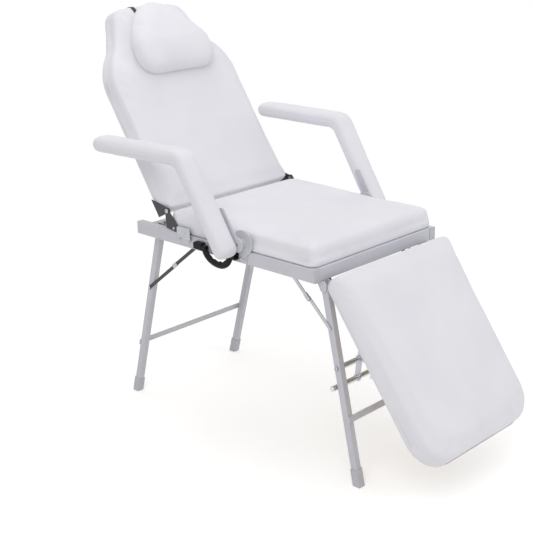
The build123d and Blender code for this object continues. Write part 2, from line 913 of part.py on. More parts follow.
def footrest_hinge_arms():
    width = foot_arm_width
    corner = in_foot(foot_arm_front, -foot_arm_drop)
    elbow = in_foot(0, -foot_arm_drop)
    top = in_foot(foot_arm_front, foot_under - width / 2)
    face = disc(foot_pivot, foot_eye_radius) + stadium(foot_pivot, elbow, width)
    face += stadium(elbow, corner, width) + stadium(corner, top, width)
    near = foot_arm_front - width / 2
    face += polygon([
        in_foot(near, foot_under - width),
        in_foot(near, foot_under - foot_flange_thickness),
        in_foot(foot_flange_end, foot_under - foot_flange_thickness),
        in_foot(foot_arm_front + width / 2, foot_under - width * 2),
    ])
    face -= polygon([
        in_foot(near - overrun, foot_under - foot_flange_thickness),
        in_foot(foot_flange_end + overrun, foot_under - foot_flange_thickness),
        in_foot(foot_flange_end + overrun, foot_under + overrun),
        in_foot(near - overrun, foot_under + overrun),
    ])
    face -= disc(foot_pivot, foot_pin_radius + running_clearance)
    flange = polygon([
        in_foot(near, foot_under - foot_flange_thickness),
        in_foot(foot_flange_end, foot_under - foot_flange_thickness),
        in_foot(foot_flange_end, foot_under),
        in_foot(near, foot_under),
    ])
    low = foot_arm_x - foot_arm_thickness / 2
    arm = side_slab(face, low, low + foot_arm_thickness)
    arm += side_slab(flange, low, low + foot_flange_width)
    return group(pair_of(arm))


# Support frame on the front legs
pivot_tube_point = along(front_pivot, front_leg_angle, pivot_tube_along)
stop_tube_point = (stop_tube_y, stop_tube_z)
rest_rod_point = in_foot(rest_rod_along, foot_under - support_tube_radius - seat_clearance)
lever_rod_point = (lever_rod_y, lever_rod_z)


def support_pivot_tube():
    tube = cross_rod(pivot_tube_point, support_tube_radius, -leg_inner_x, leg_inner_x)
    bore_half = leg_inner_x - support_end_depth
    return tube - cross_rod(pivot_tube_point, support_tube_radius - tube_wall, -bore_half, bore_half)


def support_bolts():
    end = leg_outer_x + bolt_head_height
    return group(pair_of(cross_rod(pivot_tube_point, bolt_head_radius, leg_outer_x, end)))


def support_stop_tube():
    tube = cross_rod(stop_tube_point, support_tube_radius, -stop_tube_half, stop_tube_half)
    ends = tube.faces().filter_by(Axis.X)
    rims = [edge for face in ends for edge in face.edges()]
    return fillet(rims, support_tube_radius * 0.6)


def support_plates():
    face = disc(pivot_tube_point, support_eye_radius) + disc(stop_tube_point, support_eye_radius)
    face += stadium(pivot_tube_point, stop_tube_point, 1.5 * support_eye_radius)
    face += stadium(pivot_tube_point, rest_rod_point, 2 * rest_eye_radius)
    face += stadium(pivot_tube_point, lever_rod_point, lever_eye_radius * 1.5)
    face += disc(lever_rod_point, lever_eye_radius)
    face -= disc(pivot_tube_point, support_tube_radius)
    face -= disc(stop_tube_point, support_tube_radius)
    face -= disc(lever_rod_point, lever_rod_radius)
    low = support_plate_x - support_plate_thickness / 2
    return group(both_sides(face, low, low + support_plate_thickness))


def support_rest_rod():
    reach = support_plate_x - support_plate_thickness / 2
    return cross_rod(rest_rod_point, support_tube_radius, -reach, reach)


def support_lever_rod():
    return cross_rod(lever_rod_point, lever_rod_radius, -lever_rod_half, lever_rod_half)


# Arms
arm_pivot = (arm_pivot_y, arm_pivot_z)
arm_low_x = half_width + arm_gap


def splayed(solid, side):
    pivot = Location((side * arm_low_x, arm_pivot_y, 0))
    return pivot * Location((0, 0, 0), (0, 0, -side * arm_splay)) * pivot.inverse() * solid


def armrest_bracket(side):
    low = half_width + soft_clearance
    plate = disc(arm_pivot, arm_disc_radius) + polygon([
        (arm_pivot_y - arm_foot_half, rail_floor + tube_corner),
        (arm_pivot_y + arm_foot_half, rail_floor + tube_corner),
        (arm_pivot_y + arm_foot_half, arm_pivot_z),
        (arm_pivot_y - arm_foot_half, arm_pivot_z),
    ])
    bracket = side_slab(plate, low, low + arm_bracket_thickness)
    foot = polygon([
        (arm_pivot_y - arm_foot_half, rail_floor + tube_corner),
        (arm_pivot_y + arm_foot_half, rail_floor + tube_corner),
        (arm_pivot_y + arm_foot_half, rail_top - tube_corner),
        (arm_pivot_y - arm_foot_half, rail_top - tube_corner),
    ])
    bracket += side_slab(foot, half_width, low)
    boss_end = arm_low_x - carrier_thickness - 2 * seat_clearance - arm_thickness * 0.02
    bracket += cross_rod(arm_pivot, arm_boss_radius, low, boss_end)
    bracket -= cross_rod(arm_pivot, leg_pin_radius, low + tube_wall, boss_end + overrun)
    return on_side(bracket, side)


def armrest_bolts():
    low = half_width + soft_clearance + tube_wall
    return group(pair_of(cross_rod(arm_pivot, leg_pin_radius, low, arm_low_x - 2 * seat_clearance)))


def armrest_carrier(side):
    angle = angle_between((arm_low_y, arm_low_z), (arm_elbow_y, arm_elbow_z))
    high = arm_low_x - seat_clearance
    low = high - carrier_thickness
    end = along(arm_pivot, angle, carrier_length)
    face = disc(arm_pivot, carrier_radius) + stadium(arm_pivot, end, carrier_radius)
    face -= disc(arm_pivot, leg_pin_radius + seat_clearance)
    carrier = side_slab(face, low, high)
    return splayed(on_side(carrier, side), side)


def armrest_pad(side):
    low_end = (arm_low_y, arm_low_z)
    elbow = (arm_elbow_y, arm_elbow_z)
    tip = (arm_tip_y, arm_tip_z)
    face = stadium(low_end, elbow, arm_thickness) + stadium(elbow, tip, arm_thickness)
    bend = (elbow[0] + arm_thickness / 2, elbow[1] - arm_thickness / 2)
    inner = min(face.vertices(), key=lambda corner: distance_between((corner.X, corner.Y), bend))
    face = fillet(inner, arm_inner_fillet)
    pad = side_slab(face, arm_low_x, arm_low_x + arm_width)
    rims = [edge for flat in pad.faces().filter_by(Axis.X) for edge in flat.edges()]
    pad = fillet(rims, arm_rounding)
    return splayed(on_side(pad, side), side)


# Carrying handle
def handle_mounts():
    blocks = []
    low = handle_z - handle_block_height / 2
    for start, end in (
        (handle_front - seat_clearance - handle_block_length, handle_front - seat_clearance),
        (handle_rear + seat_clearance, handle_rear + seat_clearance + handle_rear_block),
    ):
        body = block((-handle_x - handle_bar / 2, start, low), (-half_width, end, low + handle_block_height))
        body = fillet(body.edges().filter_by(Axis.Y).group_by(Axis.X)[0], handle_bar / 3)
        bore = handle_pin_radius + running_clearance
        blocks.append(body - rod_along_y(-handle_x, handle_z, bore, start - overrun, end + overrun))
    return group(blocks)


def carry_handle():
    half = handle_bar / 2
    length = handle_rear - handle_front
    bottom = handle_z - handle_drop + half
    path = [
        (handle_front + half, handle_z),
        (handle_front + half, handle_z - handle_drop * 0.45),
        (handle_front + length * 0.22, bottom - half * 0.4),
        (handle_front + length * 0.5, bottom),
        (handle_front + length * 0.8, bottom + handle_drop * 0.25),
        (handle_rear - half, handle_z - handle_drop * 0.25),
        (handle_rear - half, handle_z),
    ]
    face = disc(path[0], half) + disc(path[-1], half)
    for start, end in zip(path, path[1:]):
        face += stadium(start, end, handle_bar)
    for wave in range(handle_waves):
        y = handle_front + length * (handle_wave_start_share + handle_wave_step_share * wave)
        face += disc((y, bottom + half * 0.45 + wave * handle_wave_rise), handle_wave_radius)
    grip = side_slab(face, -handle_x - half, -handle_x + half)
    sections = (
        (handle_front - handle_block_length * 0.6, handle_front + half),
        (handle_rear - half, handle_rear + handle_block_length * 0.6),
    )
    for start, end in sections:
        grip += rod_along_y(-handle_x, handle_z, handle_pin_radius, start, end)
    return grip


# Draw latch
latch_x = -half_width - latch_sheet - latch_knuckle_radius - 2 * seat_clearance


def latch_base():
    low = latch_z - latch_base_drop
    front = latch_y - latch_base_length / 2
    rear = latch_y + latch_base_length / 2
    floor = latch_z - latch_knuckle_radius
    plate = block((-half_width - latch_sheet, front, low), (-half_width, rear, latch_z))
    knuckle = rod_along_y(latch_x, latch_z, latch_knuckle_radius, front, rear)
    half = latch_length / 2
    knuckle += rod_along_y(latch_x, latch_z, latch_pin_radius, latch_y - half, latch_y + half)
    web = block((latch_x, front, floor), (-half_width, rear, floor + latch_sheet))
    return plate + knuckle + web


def latch_lever():
    hollow = latch_knuckle_radius + running_clearance
    outer = hollow + latch_sheet
    low = latch_y - latch_length / 2
    high = latch_y + latch_length / 2
    lever = block((latch_x - outer, low, latch_z), (latch_x - hollow, high, latch_z + latch_rise))
    gap = latch_base_length / 2 + seat_clearance
    bore = latch_pin_radius + running_clearance
    for start, end in ((low, latch_y - gap), (latch_y + gap, high)):
        lever += rod_along_y(latch_x, latch_z, outer, start, end)
        lever -= rod_along_y(latch_x, latch_z, bore, start, end)
    edge = lever.edges().filter_by(Axis.X).group_by(Axis.Z)[-1]
    return fillet(edge, latch_rise / 4)


# Screws that show: two on each seat plate and backrest plate, two on each arm bracket
def frame_screws():
    screws = []
    plate = seat_plate_low() + hinge_plate_thickness
    bracket = half_width + soft_clearance + arm_bracket_thickness
    spots = [((back_pivot[0] - pad_thickness * 0.55, seat_floor + board_thickness * 0.8), plate)]
    for share in (-0.6, 0.6):
        spots.append(((arm_pivot_y + share * arm_foot_half, rail_middle - rail_height * 0.1), bracket))
    for spot, low in spots:
        screws += pair_of(cross_rod(spot, screw_radius, low, low + screw_head_height))
    return group(screws)


def build_nodes():
    nodes = {
        "front_cross_rail": front_cross_rail(),
        "rear_cross_rail": rear_cross_rail(),
        "rail_end_caps": rail_end_caps(),
        "seat_board": seat_board(),
        "seat_cushion": seat_cushion(),
        "seat_hinge_plates": seat_hinge_plates(),
        "backrest_pivot_pins": backrest_pivot_pins(),
        "backrest_racks": backrest_racks(),
        "front_leg_brackets": front_leg_brackets(),
        "leg_pivot_bolts": leg_pivot_bolts(),
        "brace_rail_pins": brace_rail_pins(),
        "footrest_hinge_lugs": footrest_hinge_lugs(),
        "armrest_bolts": armrest_bolts(),
        "handle_mounts": handle_mounts(),
        "latch_base": latch_base(),
        "frame_screws": frame_screws(),
        "backrest_board": backrest_board(),
        "backrest_cushion": backrest_cushion(),
        "backrest_hinge_plates": backrest_hinge_plates(),
        "head_pillow": head_pillow(),
        "pillow_straps": pillow_strap(),
        "prop_brackets": prop_brackets(),
        "prop_arms": prop_arms(),
        "prop_foot_bar": prop_foot_bar(),
        "footrest_board": footrest_board(),
        "footrest_cushion": footrest_cushion(),
        "footrest_hinge_arms": footrest_hinge_arms(),
        "front_cross_bar": leg_bar(front_pivot, front_leg_angle, front_bar_z, -1),
        "support_pivot_tube": support_pivot_tube(),
        "support_stop_tube": support_stop_tube(),
        "support_plates": support_plates(),
        "support_rest_rod": support_rest_rod(),
        "support_lever_rod": support_lever_rod(),
        "front_leg_rivets": group([leg_rivets(front_leg_point), support_bolts()]),
        "rear_cross_bar": leg_bar(rear_pivot, rear_leg_angle, rear_bar_z, 1),
        "rear_leg_rivets": leg_rivets(rear_leg_point),
        "front_brace_upper": brace_upper(front_rail_point, front_knee),
        "front_brace_lower": brace_lower(front_leg_point, front_knee),
        "rear_brace_upper": brace_upper(rear_rail_point, rear_knee),
        "rear_brace_lower": brace_lower(rear_leg_point, rear_knee),
        "carry_handle": carry_handle(),
        "latch_lever": latch_lever(),
    }
    front_caps = []
    rear_caps = []
    for name, side in sides:
        nodes["side_rail_" + name] = side_rail(side)
        nodes["armrest_bracket_" + name] = armrest_bracket(side)
        nodes["armrest_carrier_" + name] = armrest_carrier(side)
        nodes["armrest_pad_" + name] = armrest_pad(side)
        nodes["front_leg_" + name] = leg_tube(side, front_pivot, front_leg_angle)
        nodes["rear_leg_" + name] = leg_tube(side, rear_pivot, rear_leg_angle)
        nodes["front_ring_" + name] = slip_ring(side, front_rail_point, front_knee)
        nodes["rear_ring_" + name] = slip_ring(side, rear_rail_point, rear_knee)
        front_caps.append(foot_cap(side, front_pivot, front_leg_angle))
        rear_caps.append(foot_cap(side, rear_pivot, rear_leg_angle))
    nodes["front_foot_caps"] = group(front_caps)
    nodes["rear_foot_caps"] = group(rear_caps)
    return nodes


nodes = build_nodes()
boxes = [node.bounding_box() for node in nodes.values()]
middle_y = (min(box.min.Y for box in boxes) + max(box.max.Y for box in boxes)) / 2
os.makedirs("parts", exist_ok=True)
for name, node in nodes.items():
    export_step(Location((0, -middle_y, 0)) * node, "parts/" + name + ".step")
print("nodes", len(nodes), "middle at y", round(middle_y, 3))
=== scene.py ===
import json
import math

import bmesh
import bpy
from mathutils import Matrix, Vector, noise
from mathutils.bvhtree import BVHTree


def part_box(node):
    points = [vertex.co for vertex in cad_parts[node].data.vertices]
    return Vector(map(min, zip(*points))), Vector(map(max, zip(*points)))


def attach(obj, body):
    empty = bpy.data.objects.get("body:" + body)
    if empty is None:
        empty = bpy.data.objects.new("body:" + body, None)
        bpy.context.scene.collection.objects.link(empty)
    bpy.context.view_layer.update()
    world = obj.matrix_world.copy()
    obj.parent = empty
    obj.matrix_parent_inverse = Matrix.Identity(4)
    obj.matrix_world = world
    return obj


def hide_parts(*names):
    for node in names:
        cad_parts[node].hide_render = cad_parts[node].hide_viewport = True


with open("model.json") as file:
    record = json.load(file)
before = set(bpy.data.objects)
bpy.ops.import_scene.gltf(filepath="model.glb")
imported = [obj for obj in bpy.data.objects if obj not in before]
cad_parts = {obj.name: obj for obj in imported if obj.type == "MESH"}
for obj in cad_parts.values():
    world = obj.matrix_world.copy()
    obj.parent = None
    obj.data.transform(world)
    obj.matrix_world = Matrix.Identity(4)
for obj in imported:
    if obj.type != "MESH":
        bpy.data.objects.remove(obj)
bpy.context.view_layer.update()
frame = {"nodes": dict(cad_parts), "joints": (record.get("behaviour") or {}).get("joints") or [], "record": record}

# Looks of a portable folding tattoo chair: white vinyl pads on a pale powder coated frame.
# Lengths are in metres, +Z is up, +Y points to the head end and -X is the chair's left side.
mm = 0.001
sides = {"left": -1, "right": 1}
drawnHingeY = 600 * mm  # the arms and the grip are drawn with the backrest's hinge at this Y


def linearColour(hexText):
    channels = [int(hexText[i:i + 2], 16) / 255 for i in (1, 3, 5)]
    return [c / 12.92 if c <= 0.04045 else ((c + 0.055) / 1.055) ** 2.4 for c in channels] + [1.0]


def addNode(tree, kind, inputs=None, **settings):
    made = tree.nodes.new(kind)
    for name, value in settings.items():
        setattr(made, name, value)
    for name, value in (inputs or {}).items():
        if isinstance(value, bpy.types.NodeSocket):
            tree.links.new(value, made.inputs[name])
        else:
            made.inputs[name].default_value = value
    return made


def jointPlace(name):
    joint = next(j for j in frame["joints"] if j["name"] == name)
    return Vector(joint["pos_m"])


# Materials. Each starts from a real finish, and its pattern scales are real sizes.
def newMaterial(name, roughness, metallic=0.0):
    material = bpy.data.materials.new(name)
    material.use_nodes = True
    tree = material.node_tree
    shader = tree.nodes["Principled BSDF"]
    shader.inputs["Roughness"].default_value = roughness
    shader.inputs["Metallic"].default_value = metallic
    coords = addNode(tree, "ShaderNodeTexCoord").outputs["Object"]
    return material, tree, shader, coords


def noiseOf(tree, coords, size, detail=3.0, roughness=0.5):
    inputs = {"Vector": coords, "Scale": 1 / size, "Detail": detail, "Roughness": roughness}
    return addNode(tree, "ShaderNodeTexNoise", inputs).outputs["Fac"]


def blendColours(tree, factor, first, second):
    ramp = addNode(tree, "ShaderNodeValToRGB", {"Fac": factor})
    ramp.color_ramp.elements[0].color = linearColour(first)
    ramp.color_ramp.elements[1].color = linearColour(second)
    return ramp.outputs["Color"]


def spread(tree, value, low, high):
    inputs = {"Value": value, "To Min": low, "To Max": high}
    return addNode(tree, "ShaderNodeMapRange", inputs).outputs["Result"]


def softEdges(tree, radius):
    return addNode(tree, "ShaderNodeBevel", {"Radius": radius}, samples=6).outputs["Normal"]


def bump(tree, height, depth, strength=1.0, normal=None):
    inputs = {"Height": height, "Distance": depth, "Strength": strength}
    if normal is not None:
        inputs["Normal"] = normal
    return addNode(tree, "ShaderNodeBump", inputs).outputs["Normal"]


def edgeMask(tree, rounded):
    flat = addNode(tree, "ShaderNodeNewGeometry").outputs["Normal"]
    facing = addNode(tree, "ShaderNodeVectorMath", {0: rounded, 1: flat}, operation="DOT_PRODUCT")
    inputs = {"Value": facing.outputs["Value"], "From Min": 1.0, "From Max": 0.86}
    return addNode(tree, "ShaderNodeMapRange", inputs).outputs["Result"]


def vinylUpholstery(name="whiteVinyl", pale="#EFEEF3", deep="#E3E2E9", grain=2.6 * mm):
    # Calendered PVC leathercloth, embossed: a soft sheen with a very fine pebble.
    # The real pebble is about 0.8 mm, drawn larger so that it shows at all.
    material, tree, shader, coords = newMaterial(name, 0.44)
    broad = noiseOf(tree, coords, 0.16, 2.0)
    tree.links.new(blendColours(tree, broad, deep, pale), shader.inputs["Base Color"])
    tree.links.new(spread(tree, noiseOf(tree, coords, 0.03), 0.4, 0.52), shader.inputs["Roughness"])
    cells = addNode(tree, "ShaderNodeTexVoronoi", {"Vector": coords, "Scale": 1 / grain}, feature="SMOOTH_F1")
    pebble = bump(tree, cells.outputs["Distance"], 0.12 * mm, 0.45)
    creases = noiseOf(tree, coords, 0.045, 4.0, 0.6)
    tree.links.new(bump(tree, creases, 1.1 * mm, 0.35, pebble), shader.inputs["Normal"])
    shader.inputs["Specular IOR Level"].default_value = 0.42
    shader.inputs["Sheen Weight"].default_value = 0.08
    shader.inputs["Sheen Roughness"].default_value = 0.4
    return material


def powderCoat(name="silverPowderCoat", pale="#D3D3DA", deep="#C6C6CE", worn="#E6E6EA"):
    # Polyester powder coat on welded steel tube: satin, with a shallow orange peel of 3 mm waves.
    material, tree, shader, coords = newMaterial(name, 0.36)
    rounded = softEdges(tree, 1.6 * mm)
    base = blendColours(tree, noiseOf(tree, coords, 0.09), deep, pale)
    mix = addNode(tree, "ShaderNodeMix", {"Factor": edgeMask(tree, rounded)}, data_type="RGBA")
    tree.links.new(base, mix.inputs["A"])
    mix.inputs["B"].default_value = linearColour(worn)
    tree.links.new(mix.outputs["Result"], shader.inputs["Base Color"])
    tree.links.new(spread(tree, noiseOf(tree, coords, 0.02), 0.3, 0.42), shader.inputs["Roughness"])
    peel = noiseOf(tree, coords, 3 * mm, 1.0)
    tree.links.new(bump(tree, peel, 0.06 * mm, 0.4, rounded), shader.inputs["Normal"])
    shader.inputs["Coat Weight"].default_value = 0.18
    shader.inputs["Coat Roughness"].default_value = 0.2
    return material


def blackEnamel(name="blackEnamel"):
    # Stoved enamel on pressed steel: nearly black with a grey cast, rubbed bright at the edges.
    material, tree, shader, coords = newMaterial(name, 0.4)
    rounded = softEdges(tree, 0.7 * mm)
    base = blendColours(tree, noiseOf(tree, coords, 0.03), "#2F2F34", "#414147")
    mix = addNode(tree, "ShaderNodeMix", {"Factor": edgeMask(tree, rounded)}, data_type="RGBA")
    tree.links.new(base, mix.inputs["A"])
    mix.inputs["B"].default_value = linearColour("#75757C")
    tree.links.new(mix.outputs["Result"], shader.inputs["Base Color"])
    tree.links.new(spread(tree, noiseOf(tree, coords, 0.012), 0.32, 0.5), shader.inputs["Roughness"])
    fine = noiseOf(tree, coords, 1.5 * mm, 2.0)
    tree.links.new(bump(tree, fine, 0.05 * mm, 0.4, rounded), shader.inputs["Normal"])
    return material


def zincPlate(name="brightZinc"):
    # Bright zinc plating on pressed steel: grey metal with cloudy patches and fine rolling lines.
    material, tree, shader, coords = newMaterial(name, 0.34, 1.0)
    base = blendColours(tree, noiseOf(tree, coords, 0.015, 4.0), "#A9AAB0", "#CFD0D5")
    tree.links.new(base, shader.inputs["Base Color"])
    tree.links.new(spread(tree, noiseOf(tree, coords, 0.006), 0.24, 0.44), shader.inputs["Roughness"])
    lines = addNode(tree, "ShaderNodeMapping", {"Vector": coords, "Scale": (1.0, 0.05, 1.0)})
    rolled = noiseOf(tree, lines.outputs["Vector"], 0.8 * mm, 2.0)
    normal = bump(tree, rolled, 0.03 * mm, 0.4, softEdges(tree, 0.5 * mm))
    tree.links.new(normal, shader.inputs["Normal"])
    return material


def chromePlate(name="chromePlate"):
    # Polished chrome over nickel on steel rod: a clear reflection, slightly blue.
    material, tree, shader, coords = newMaterial(name, 0.12, 1.0)
    base = blendColours(tree, noiseOf(tree, coords, 0.04), "#C6C8CC", "#D9DADE")
    tree.links.new(base, shader.inputs["Base Color"])
    tree.links.new(spread(tree, noiseOf(tree, coords, 0.01, 4.0), 0.08, 0.2), shader.inputs["Roughness"])
    fine = noiseOf(tree, coords, 2 * mm, 2.0)
    tree.links.new(bump(tree, fine, 0.01 * mm, 0.3, softEdges(tree, 0.6 * mm)), shader.inputs["Normal"])
    return material


def mouldedPlastic(name, pale, deep, roughness, texture=0.9 * mm, gloss=0.5):
    # Injection moulded thermoplastic with a spark eroded texture of under a millimetre.
    material, tree, shader, coords = newMaterial(name, roughness)
    tree.links.new(blendColours(tree, noiseOf(tree, coords, 0.02), deep, pale), shader.inputs["Base Color"])
    mottled = spread(tree, noiseOf(tree, coords, 0.006), roughness - 0.06, roughness + 0.08)
    tree.links.new(mottled, shader.inputs["Roughness"])
    sparks = noiseOf(tree, coords, texture, 3.0, 0.7)
    normal = bump(tree, sparks, 0.08 * mm, 0.5, softEdges(tree, 1.2 * mm))
    tree.links.new(normal, shader.inputs["Normal"])
    shader.inputs["Specular IOR Level"].default_value = gloss
    return material


def birchPlywood(name="birchPlywood"):
    # Rotary cut birch veneer: long wavy grain across the chair, about 4 mm apart, dry and unsealed.
    material, tree, shader, coords = newMaterial(name, 0.72)
    stretched = addNode(tree, "ShaderNodeMapping", {"Vector": coords, "Scale": (0.06, 1.0, 1.0)})
    grain = noiseOf(tree, stretched.outputs["Vector"], 4 * mm, 5.0, 0.65)
    tree.links.new(blendColours(tree, grain, "#C2AC8A", "#E2D3B8"), shader.inputs["Base Color"])
    tree.links.new(bump(tree, grain, 0.15 * mm, 0.5), shader.inputs["Normal"])
    return material


def wovenElastic(name="wovenElastic", ribSpacing=3.157 * mm):
    # Braided elastic band: matt black, with ribs along it.
    # The real ribs are about 1.6 mm apart, drawn twice as coarse so that they show at all.
    material, tree, shader, coords = newMaterial(name, 0.82)
    inputs = {"Vector": coords, "Scale": math.tau / 20 / ribSpacing}  # a wave repeats every tau / 20
    ribs = addNode(tree, "ShaderNodeTexWave", inputs, bands_direction="X")
    tree.links.new(blendColours(tree, ribs.outputs["Fac"], "#1B1B1E", "#34343A"), shader.inputs["Base Color"])
    tree.links.new(bump(tree, ribs.outputs["Fac"], 0.3 * mm, 0.7), shader.inputs["Normal"])
    shader.inputs["Sheen Weight"].default_value = 0.3
    return material


finishes = {
    "white_vinyl": vinylUpholstery(),
    "frame_paint": powderCoat(),
    "black_paint": blackEnamel(),
    "zinc_steel": zincPlate(),
    "chrome_tube": chromePlate(),
    "grey_plastic": mouldedPlastic("greyPolyethylene", "#CDCDD3", "#BDBDC5", 0.48),
    "black_plastic": mouldedPlastic("blackAbs", "#0E0E11", "#08080A", 0.45, gloss=0.22),
    "plywood": birchPlywood(),
    "black_elastic": wovenElastic(),
}
print("materials made", len(finishes))

# Every CAD node takes the finish of its slot in the record.
slotOfNode = {entry["node"]: entry["material_slot"] for entry in frame["record"]["subparts"]}
for nodeName, nodeObject in frame["nodes"].items():
    nodeObject.data.materials.clear()
    nodeObject.data.materials.append(finishes[slotOfNode[nodeName]])
print("finishes on", len(frame["nodes"]), "nodes")


# Outlines, drawn flat in metres
def arcAround(centre, radius, start, end, steps):
    turns = [math.radians(start + (end - start) * i / steps) for i in range(steps + 1)]
    return [(centre[0] + radius * math.cos(t), centre[1] + radius * math.sin(t)) for t in turns]


def arcThrough(first, middle, last, steps):
    ax, ay = middle[0] - first[0], middle[1] - first[1]
    bx, by = last[0] - first[0], last[1] - first[1]
    cross = 2 * (ax * by - ay * bx)
    if abs(cross) < 1e-12:
        return [(first[0] + bx * i / steps, first[1] + by * i / steps) for i in range(steps)]
    ux = (by * (ax * ax + ay * ay) - ay * (bx * bx + by * by)) / cross
    uy = (ax * (bx * bx + by * by) - bx * (ax * ax + ay * ay)) / cross
    centre = (first[0] + ux, first[1] + uy)
    angles = [math.atan2(p[1] - centre[1], p[0] - centre[0]) for p in (first, middle, last)]
    sweep = (angles[2] - angles[0]) % math.tau
    if (angles[1] - angles[0]) % math.tau > sweep:
        sweep -= math.tau
    radius = math.hypot(ux, uy)
    return [
        (centre[0] + radius * math.cos(angles[0] + sweep * i / steps),
         centre[1] + radius * math.sin(angles[0] + sweep * i / steps))
        for i in range(steps)
    ]


def roundedPolygon(corners, radii, steps=10):
    outline = []
    for index, radius in enumerate(radii):
        here = Vector(corners[index])
        before = (Vector(corners[index - 1]) - here).normalized()
        after = (Vector(corners[(index + 1) % len(corners)]) - here).normalized()
        half = before.angle(after) / 2
        reach = radius / math.tan(half)
        centre = here + (before + after).normalized() * radius / math.sin(half)
        start, end = here + before * reach - centre, here + after * reach - centre
        sweep = start.angle_signed(end)
        for step in range(steps + 1):
            turn = Matrix.Rotation(-sweep * step / steps, 2)
            outline.append(tuple(centre + turn @ start))
    return outline


def evenly(outline, spacing):
    points = [Vector(p) for p in outline]
    lengths = [(points[(i + 1) % len(points)] - p).length for i, p in enumerate(points)]
    count = max(24, round(sum(lengths) / spacing))
    step, result, index, walked = sum(lengths) / count, [], 0, 0.0
    for wanted in range(count):
        target = wanted * step
        while walked + lengths[index] < target and index < len(points) - 1:
            walked += lengths[index]
            index += 1
        share = (target - walked) / lengths[index] if lengths[index] else 0
        result.append(points[index].lerp(points[(index + 1) % len(points)], share))
    return result


def drawnIn(outline, inset):
    result = []
    for index, point in enumerate(outline):
        along = outline[(index + 1) % len(outline)] - outline[index - 1]
        outward = Vector((along.y, -along.x)).normalized()
        result.append(point - outward * inset)
    return result


# Mesh helpers
def linked(name, data):
    made = bpy.data.objects.new(name, data)
    bpy.context.scene.collection.objects.link(made)
    return made


def meshObject(name, points, faces, material=None):
    mesh = bpy.data.meshes.new(name)
    mesh.from_pydata([tuple(p) for p in points], [], faces)
    mesh.validate()
    if material:
        mesh.materials.append(material)
    return linked(name, mesh)


def ringFaces(ringCount, size, capped=True):
    faces = []
    for ring in range(ringCount - 1):
        for i in range(size):
            j = (i + 1) % size
            faces.append((ring * size + i, ring * size + j, (ring + 1) * size + j, (ring + 1) * size + i))
    if capped:
        faces.append(tuple(reversed(range(size))))
        faces.append(tuple(range((ringCount - 1) * size, ringCount * size)))
    return faces


def applied(piece):
    bpy.context.view_layer.update()
    graph = bpy.context.evaluated_depsgraph_get()
    mesh = bpy.data.meshes.new_from_object(piece.evaluated_get(graph))
    piece.modifiers.clear()
    piece.data = mesh
    return piece


def remeshed(piece, voxel):
    remesh = piece.modifiers.new("remesh", "REMESH")
    remesh.mode = "VOXEL"
    remesh.voxel_size = voxel
    return applied(piece)


def smoothShaded(piece):
    piece.data.polygons.foreach_set("use_smooth", [True] * len(piece.data.polygons))
    return piece


def facesOut(piece):
    work = bmesh.new()
    work.from_mesh(piece.data)
    bmesh.ops.remove_doubles(work, verts=work.verts, dist=0.01 * mm)
    bmesh.ops.recalc_face_normals(work, faces=work.faces)
    work.to_mesh(piece.data)
    work.free()
    return piece


def surfaceOf(piece):
    points = [vertex.co for vertex in piece.data.vertices]
    return BVHTree.FromPolygons(points, [face.vertices for face in piece.data.polygons])


# Padding: a closed form is swelled as vinyl over foam, with the side that lies on its board held
def swelled(piece, held, voxel, cap, pressure=4.0, frames=14):
    remeshed(piece, voxel)
    start = [v.co.copy() for v in piece.data.vertices]
    group = piece.vertex_groups.new(name="held")
    for index, place in enumerate(start):
        weight = held(place)
        if weight > 0:
            group.add([index], weight, "REPLACE")
    cloth = piece.modifiers.new("cloth", "CLOTH")
    cloth.settings.vertex_group_mass = "held"
    cloth.settings.use_pressure = True
    cloth.settings.uniform_pressure_force = pressure
    cloth.settings.effector_weights.gravity = 0
    cloth.settings.quality = 3
    cloth.point_cache.frame_start = 1
    cloth.point_cache.frame_end = frames
    for number in range(1, frames + 1):
        bpy.context.scene.frame_set(number)
    applied(piece)
    bpy.context.scene.frame_set(1)
    for vertex, place in zip(piece.data.vertices, start):
        move = vertex.co - place
        if move.length > cap:
            vertex.co = place + move.normalized() * cap
    return piece


def relaxed(piece, rounds=4, factor=0.5):
    smooth = piece.modifiers.new("smooth", "SMOOTH")
    smooth.factor = factor
    smooth.iterations = rounds
    return applied(piece)


def softUndulation(piece, depth, size, seed, mask):
    for vertex in piece.data.vertices:
        place = vertex.co
        amount = noise.noise((place + Vector((seed, seed * 2, seed * 3))) / size) * depth * mask(place)
        vertex.co = place + vertex.normal * amount
    return piece


def subdivided(piece, levels=1):
    subdivision = piece.modifiers.new("subdivision", "SUBSURF")
    subdivision.levels = subdivision.render_levels = levels
    return applied(piece)


def placed(piece, origin, across, along, up):
    frameMatrix = Matrix((across, along, up)).transposed().to_4x4()
    frameMatrix.translation = origin
    piece.data.transform(frameMatrix)
    if frameMatrix.determinant() < 0:
        piece.data.flip_normals()
    return piece


# Heights are shares of the pad's thickness, insets are in metres from its widest outline
padRim = {
    "heightShares": (0.0, 0.03, 0.12, 0.4, 0.66, 0.82, 0.92, 0.975, 1.0),
    "insets": (1.6 * mm, 0.4 * mm, 0.0, 0.0, 0.4 * mm, 2.2 * mm, 5.5 * mm, 10.0 * mm, 17.0 * mm),
    "spacing": 9 * mm, "heldShare": 0.22, "hingeHeld": 0.8, "hingeSquare": 0.6,
}


